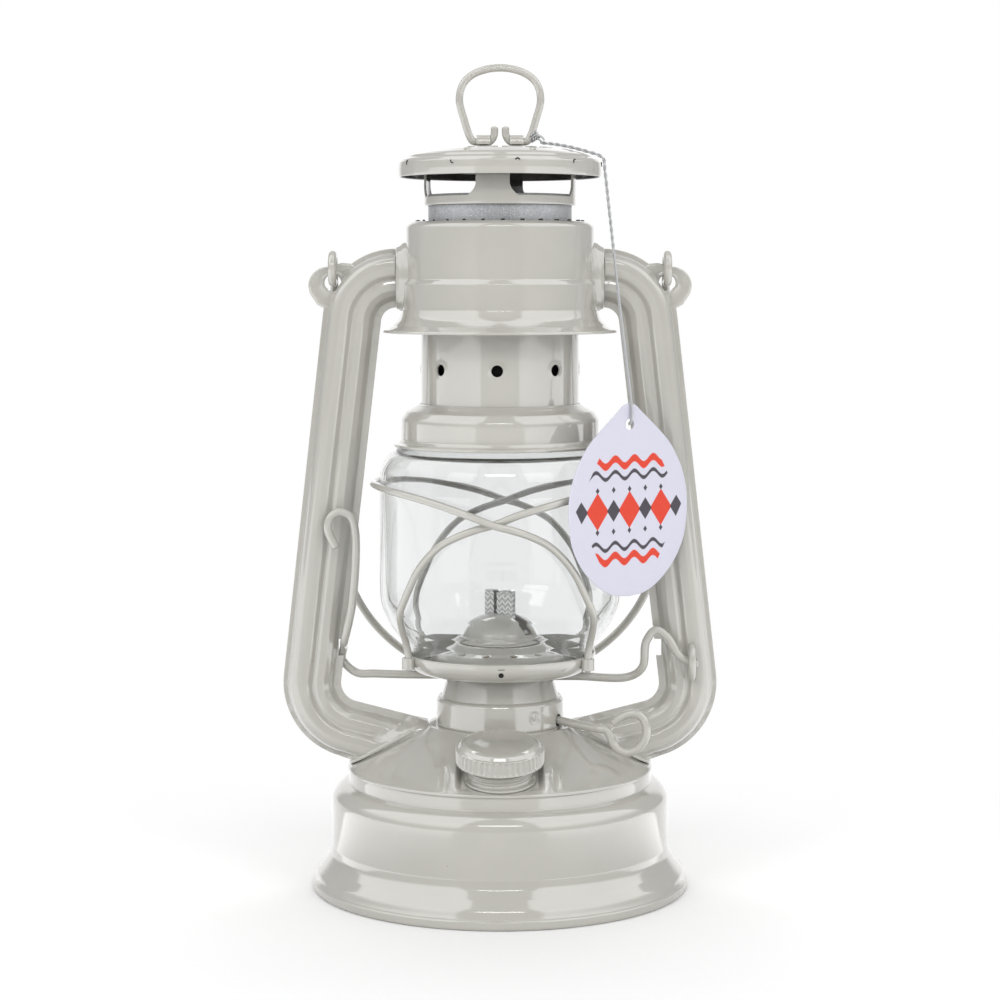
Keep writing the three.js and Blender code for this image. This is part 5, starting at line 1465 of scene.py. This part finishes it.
def rayKinds(finish):
    # 1 for rays of three kinds: seen straight by the camera, mirrored but not bent by glass, bent by glass
    ray = finish.node("ShaderNodeLightPath", {}, {}).socket.node
    kinds = ("Is Camera Ray", "Is Glossy Ray", "Is Transmission Ray")
    seen, mirrored, through = [Signal(finish, ray.outputs[kind]) for kind in kinds]
    return seen, mirrored * (1 - through), through


def panels(x, y):
    # 1 where mirrored directions meet the pale panels at both sides, 0 in the gap in front and in the dark
    # bands behind them; directions are told apart by their share of y
    length = (x * x + y * y) ** 0.5 + 0.001
    ahead = y / length
    return ahead.ramp(-0.9, -0.87) * ahead.ramp(0.42, 0.36)


world = bpy.data.worlds.new("studio")
bpy.context.scene.world = world
world.use_nodes = True
sky = RoomFinish(world)
seen, mirrored, through = rayKinds(sky)
skyX, skyY, skyZ = sky.split(sky.node("ShaderNodeTexCoord", {}, {}, "Generated"))
behind = skyY.ramp(-0.25, 0.15)
backdrop = skyY.ramp(0.8, 0.9) * skyZ.ramp(0.6, 0.3) * (room["backdrop"] - room["gap"])
mirror = panels(skyX, skyY) * (skyZ.ramp(0.2, 0.5) * room["raised"] + room["panel"]) + backdrop + room["gap"]
sides = skyX.maths("ABSOLUTE").ramp(0.3, 0.62) * room["sides"]
pictured = (seen + through).maths("MINIMUM", 1.0)
even = behind * (room["back"] - room["front"]) + room["front"]
lit = (1 - (pictured + mirrored).maths("MINIMUM", 1.0)) * even
background = world.node_tree.nodes["Background"].inputs
sky.plug(background["Strength"], pictured - through * sides + mirrored * mirror + lit)
sky.plug(background["Color"], (1.0, 1.0, 1.0, 1.0))

# Floor: white paper that keeps the lantern's soft shadow; further off it glows evenly, and where the lantern
# mirrors it, it glows with painted light that is brighter in the room's panels' directions from the middle
stand = {
    "glow": 0.05, "middle": (0, 0.06, 0), "clear": (0.15, 0.3), "clearMirrored": (0.09, 0.2), "gap": 1.1,
    "panel": 1.2, "half": 6,
}
paper = Finish("paper", {"Roughness": 0.9, "Specular IOR Level": 0.1})
grain = paper.noise(400, 2)
paper.give("Base Color", paper.blend(grain, (0.85, 0.85, 0.85, 1), (0.87, 0.87, 0.87, 1)))
seen, mirrored, through = rayKinds(paper)
pictured = (seen + through).maths("MINIMUM", 1.0)
glow = paper.node("ShaderNodeEmission", {}, {"Color": (1, 1, 1, 1), "Strength": pictured * stand["glow"]})
paperSum = paper.node("ShaderNodeAddShader", {}, {0: Signal(paper, paper.shader.outputs[0]), 1: glow})
spotX, spotY, _ = paper.split(paper.place())
# painted light: to mirrored rays the paper glows, brighter at both sides in front than in the gap
brightness = pictured + mirrored * (panels(spotX, spotY) * stand["panel"] + stand["gap"])
plain = paper.node("ShaderNodeEmission", {}, {"Color": (1, 1, 1, 1), "Strength": brightness})
away = paper.node("ShaderNodeVectorMath", {"operation": "LENGTH"}, {0: paper.place(stand["middle"])}, "Value")
far = away.ramp(*stand["clear"]) * pictured + away.ramp(*stand["clearMirrored"]) * mirrored
far = far.maths("MINIMUM", 1.0)
paperMix = paper.node("ShaderNodeMixShader", {}, {0: far, 1: paperSum, 2: plain})
paper.plug(paper.tree.nodes["Material Output"].inputs["Surface"], paperMix)
floorMesh = bpy.data.meshes.new("floor")
floorCorners = [(x * stand["half"], y * stand["half"], 0) for x, y in ((-1, -1), (1, -1), (1, 1), (-1, 1))]
floorMesh.from_pydata(floorCorners, [], [(0, 1, 2, 3)])
floorMesh.materials.append(paper.material)
floor = shown("floor", floorMesh)
floor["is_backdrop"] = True

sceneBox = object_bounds()
for label, box in (("cad", cadBox), ("visual", sceneBox)):
    print(label, [round(v * 1000, 1) for p in box for v in p])
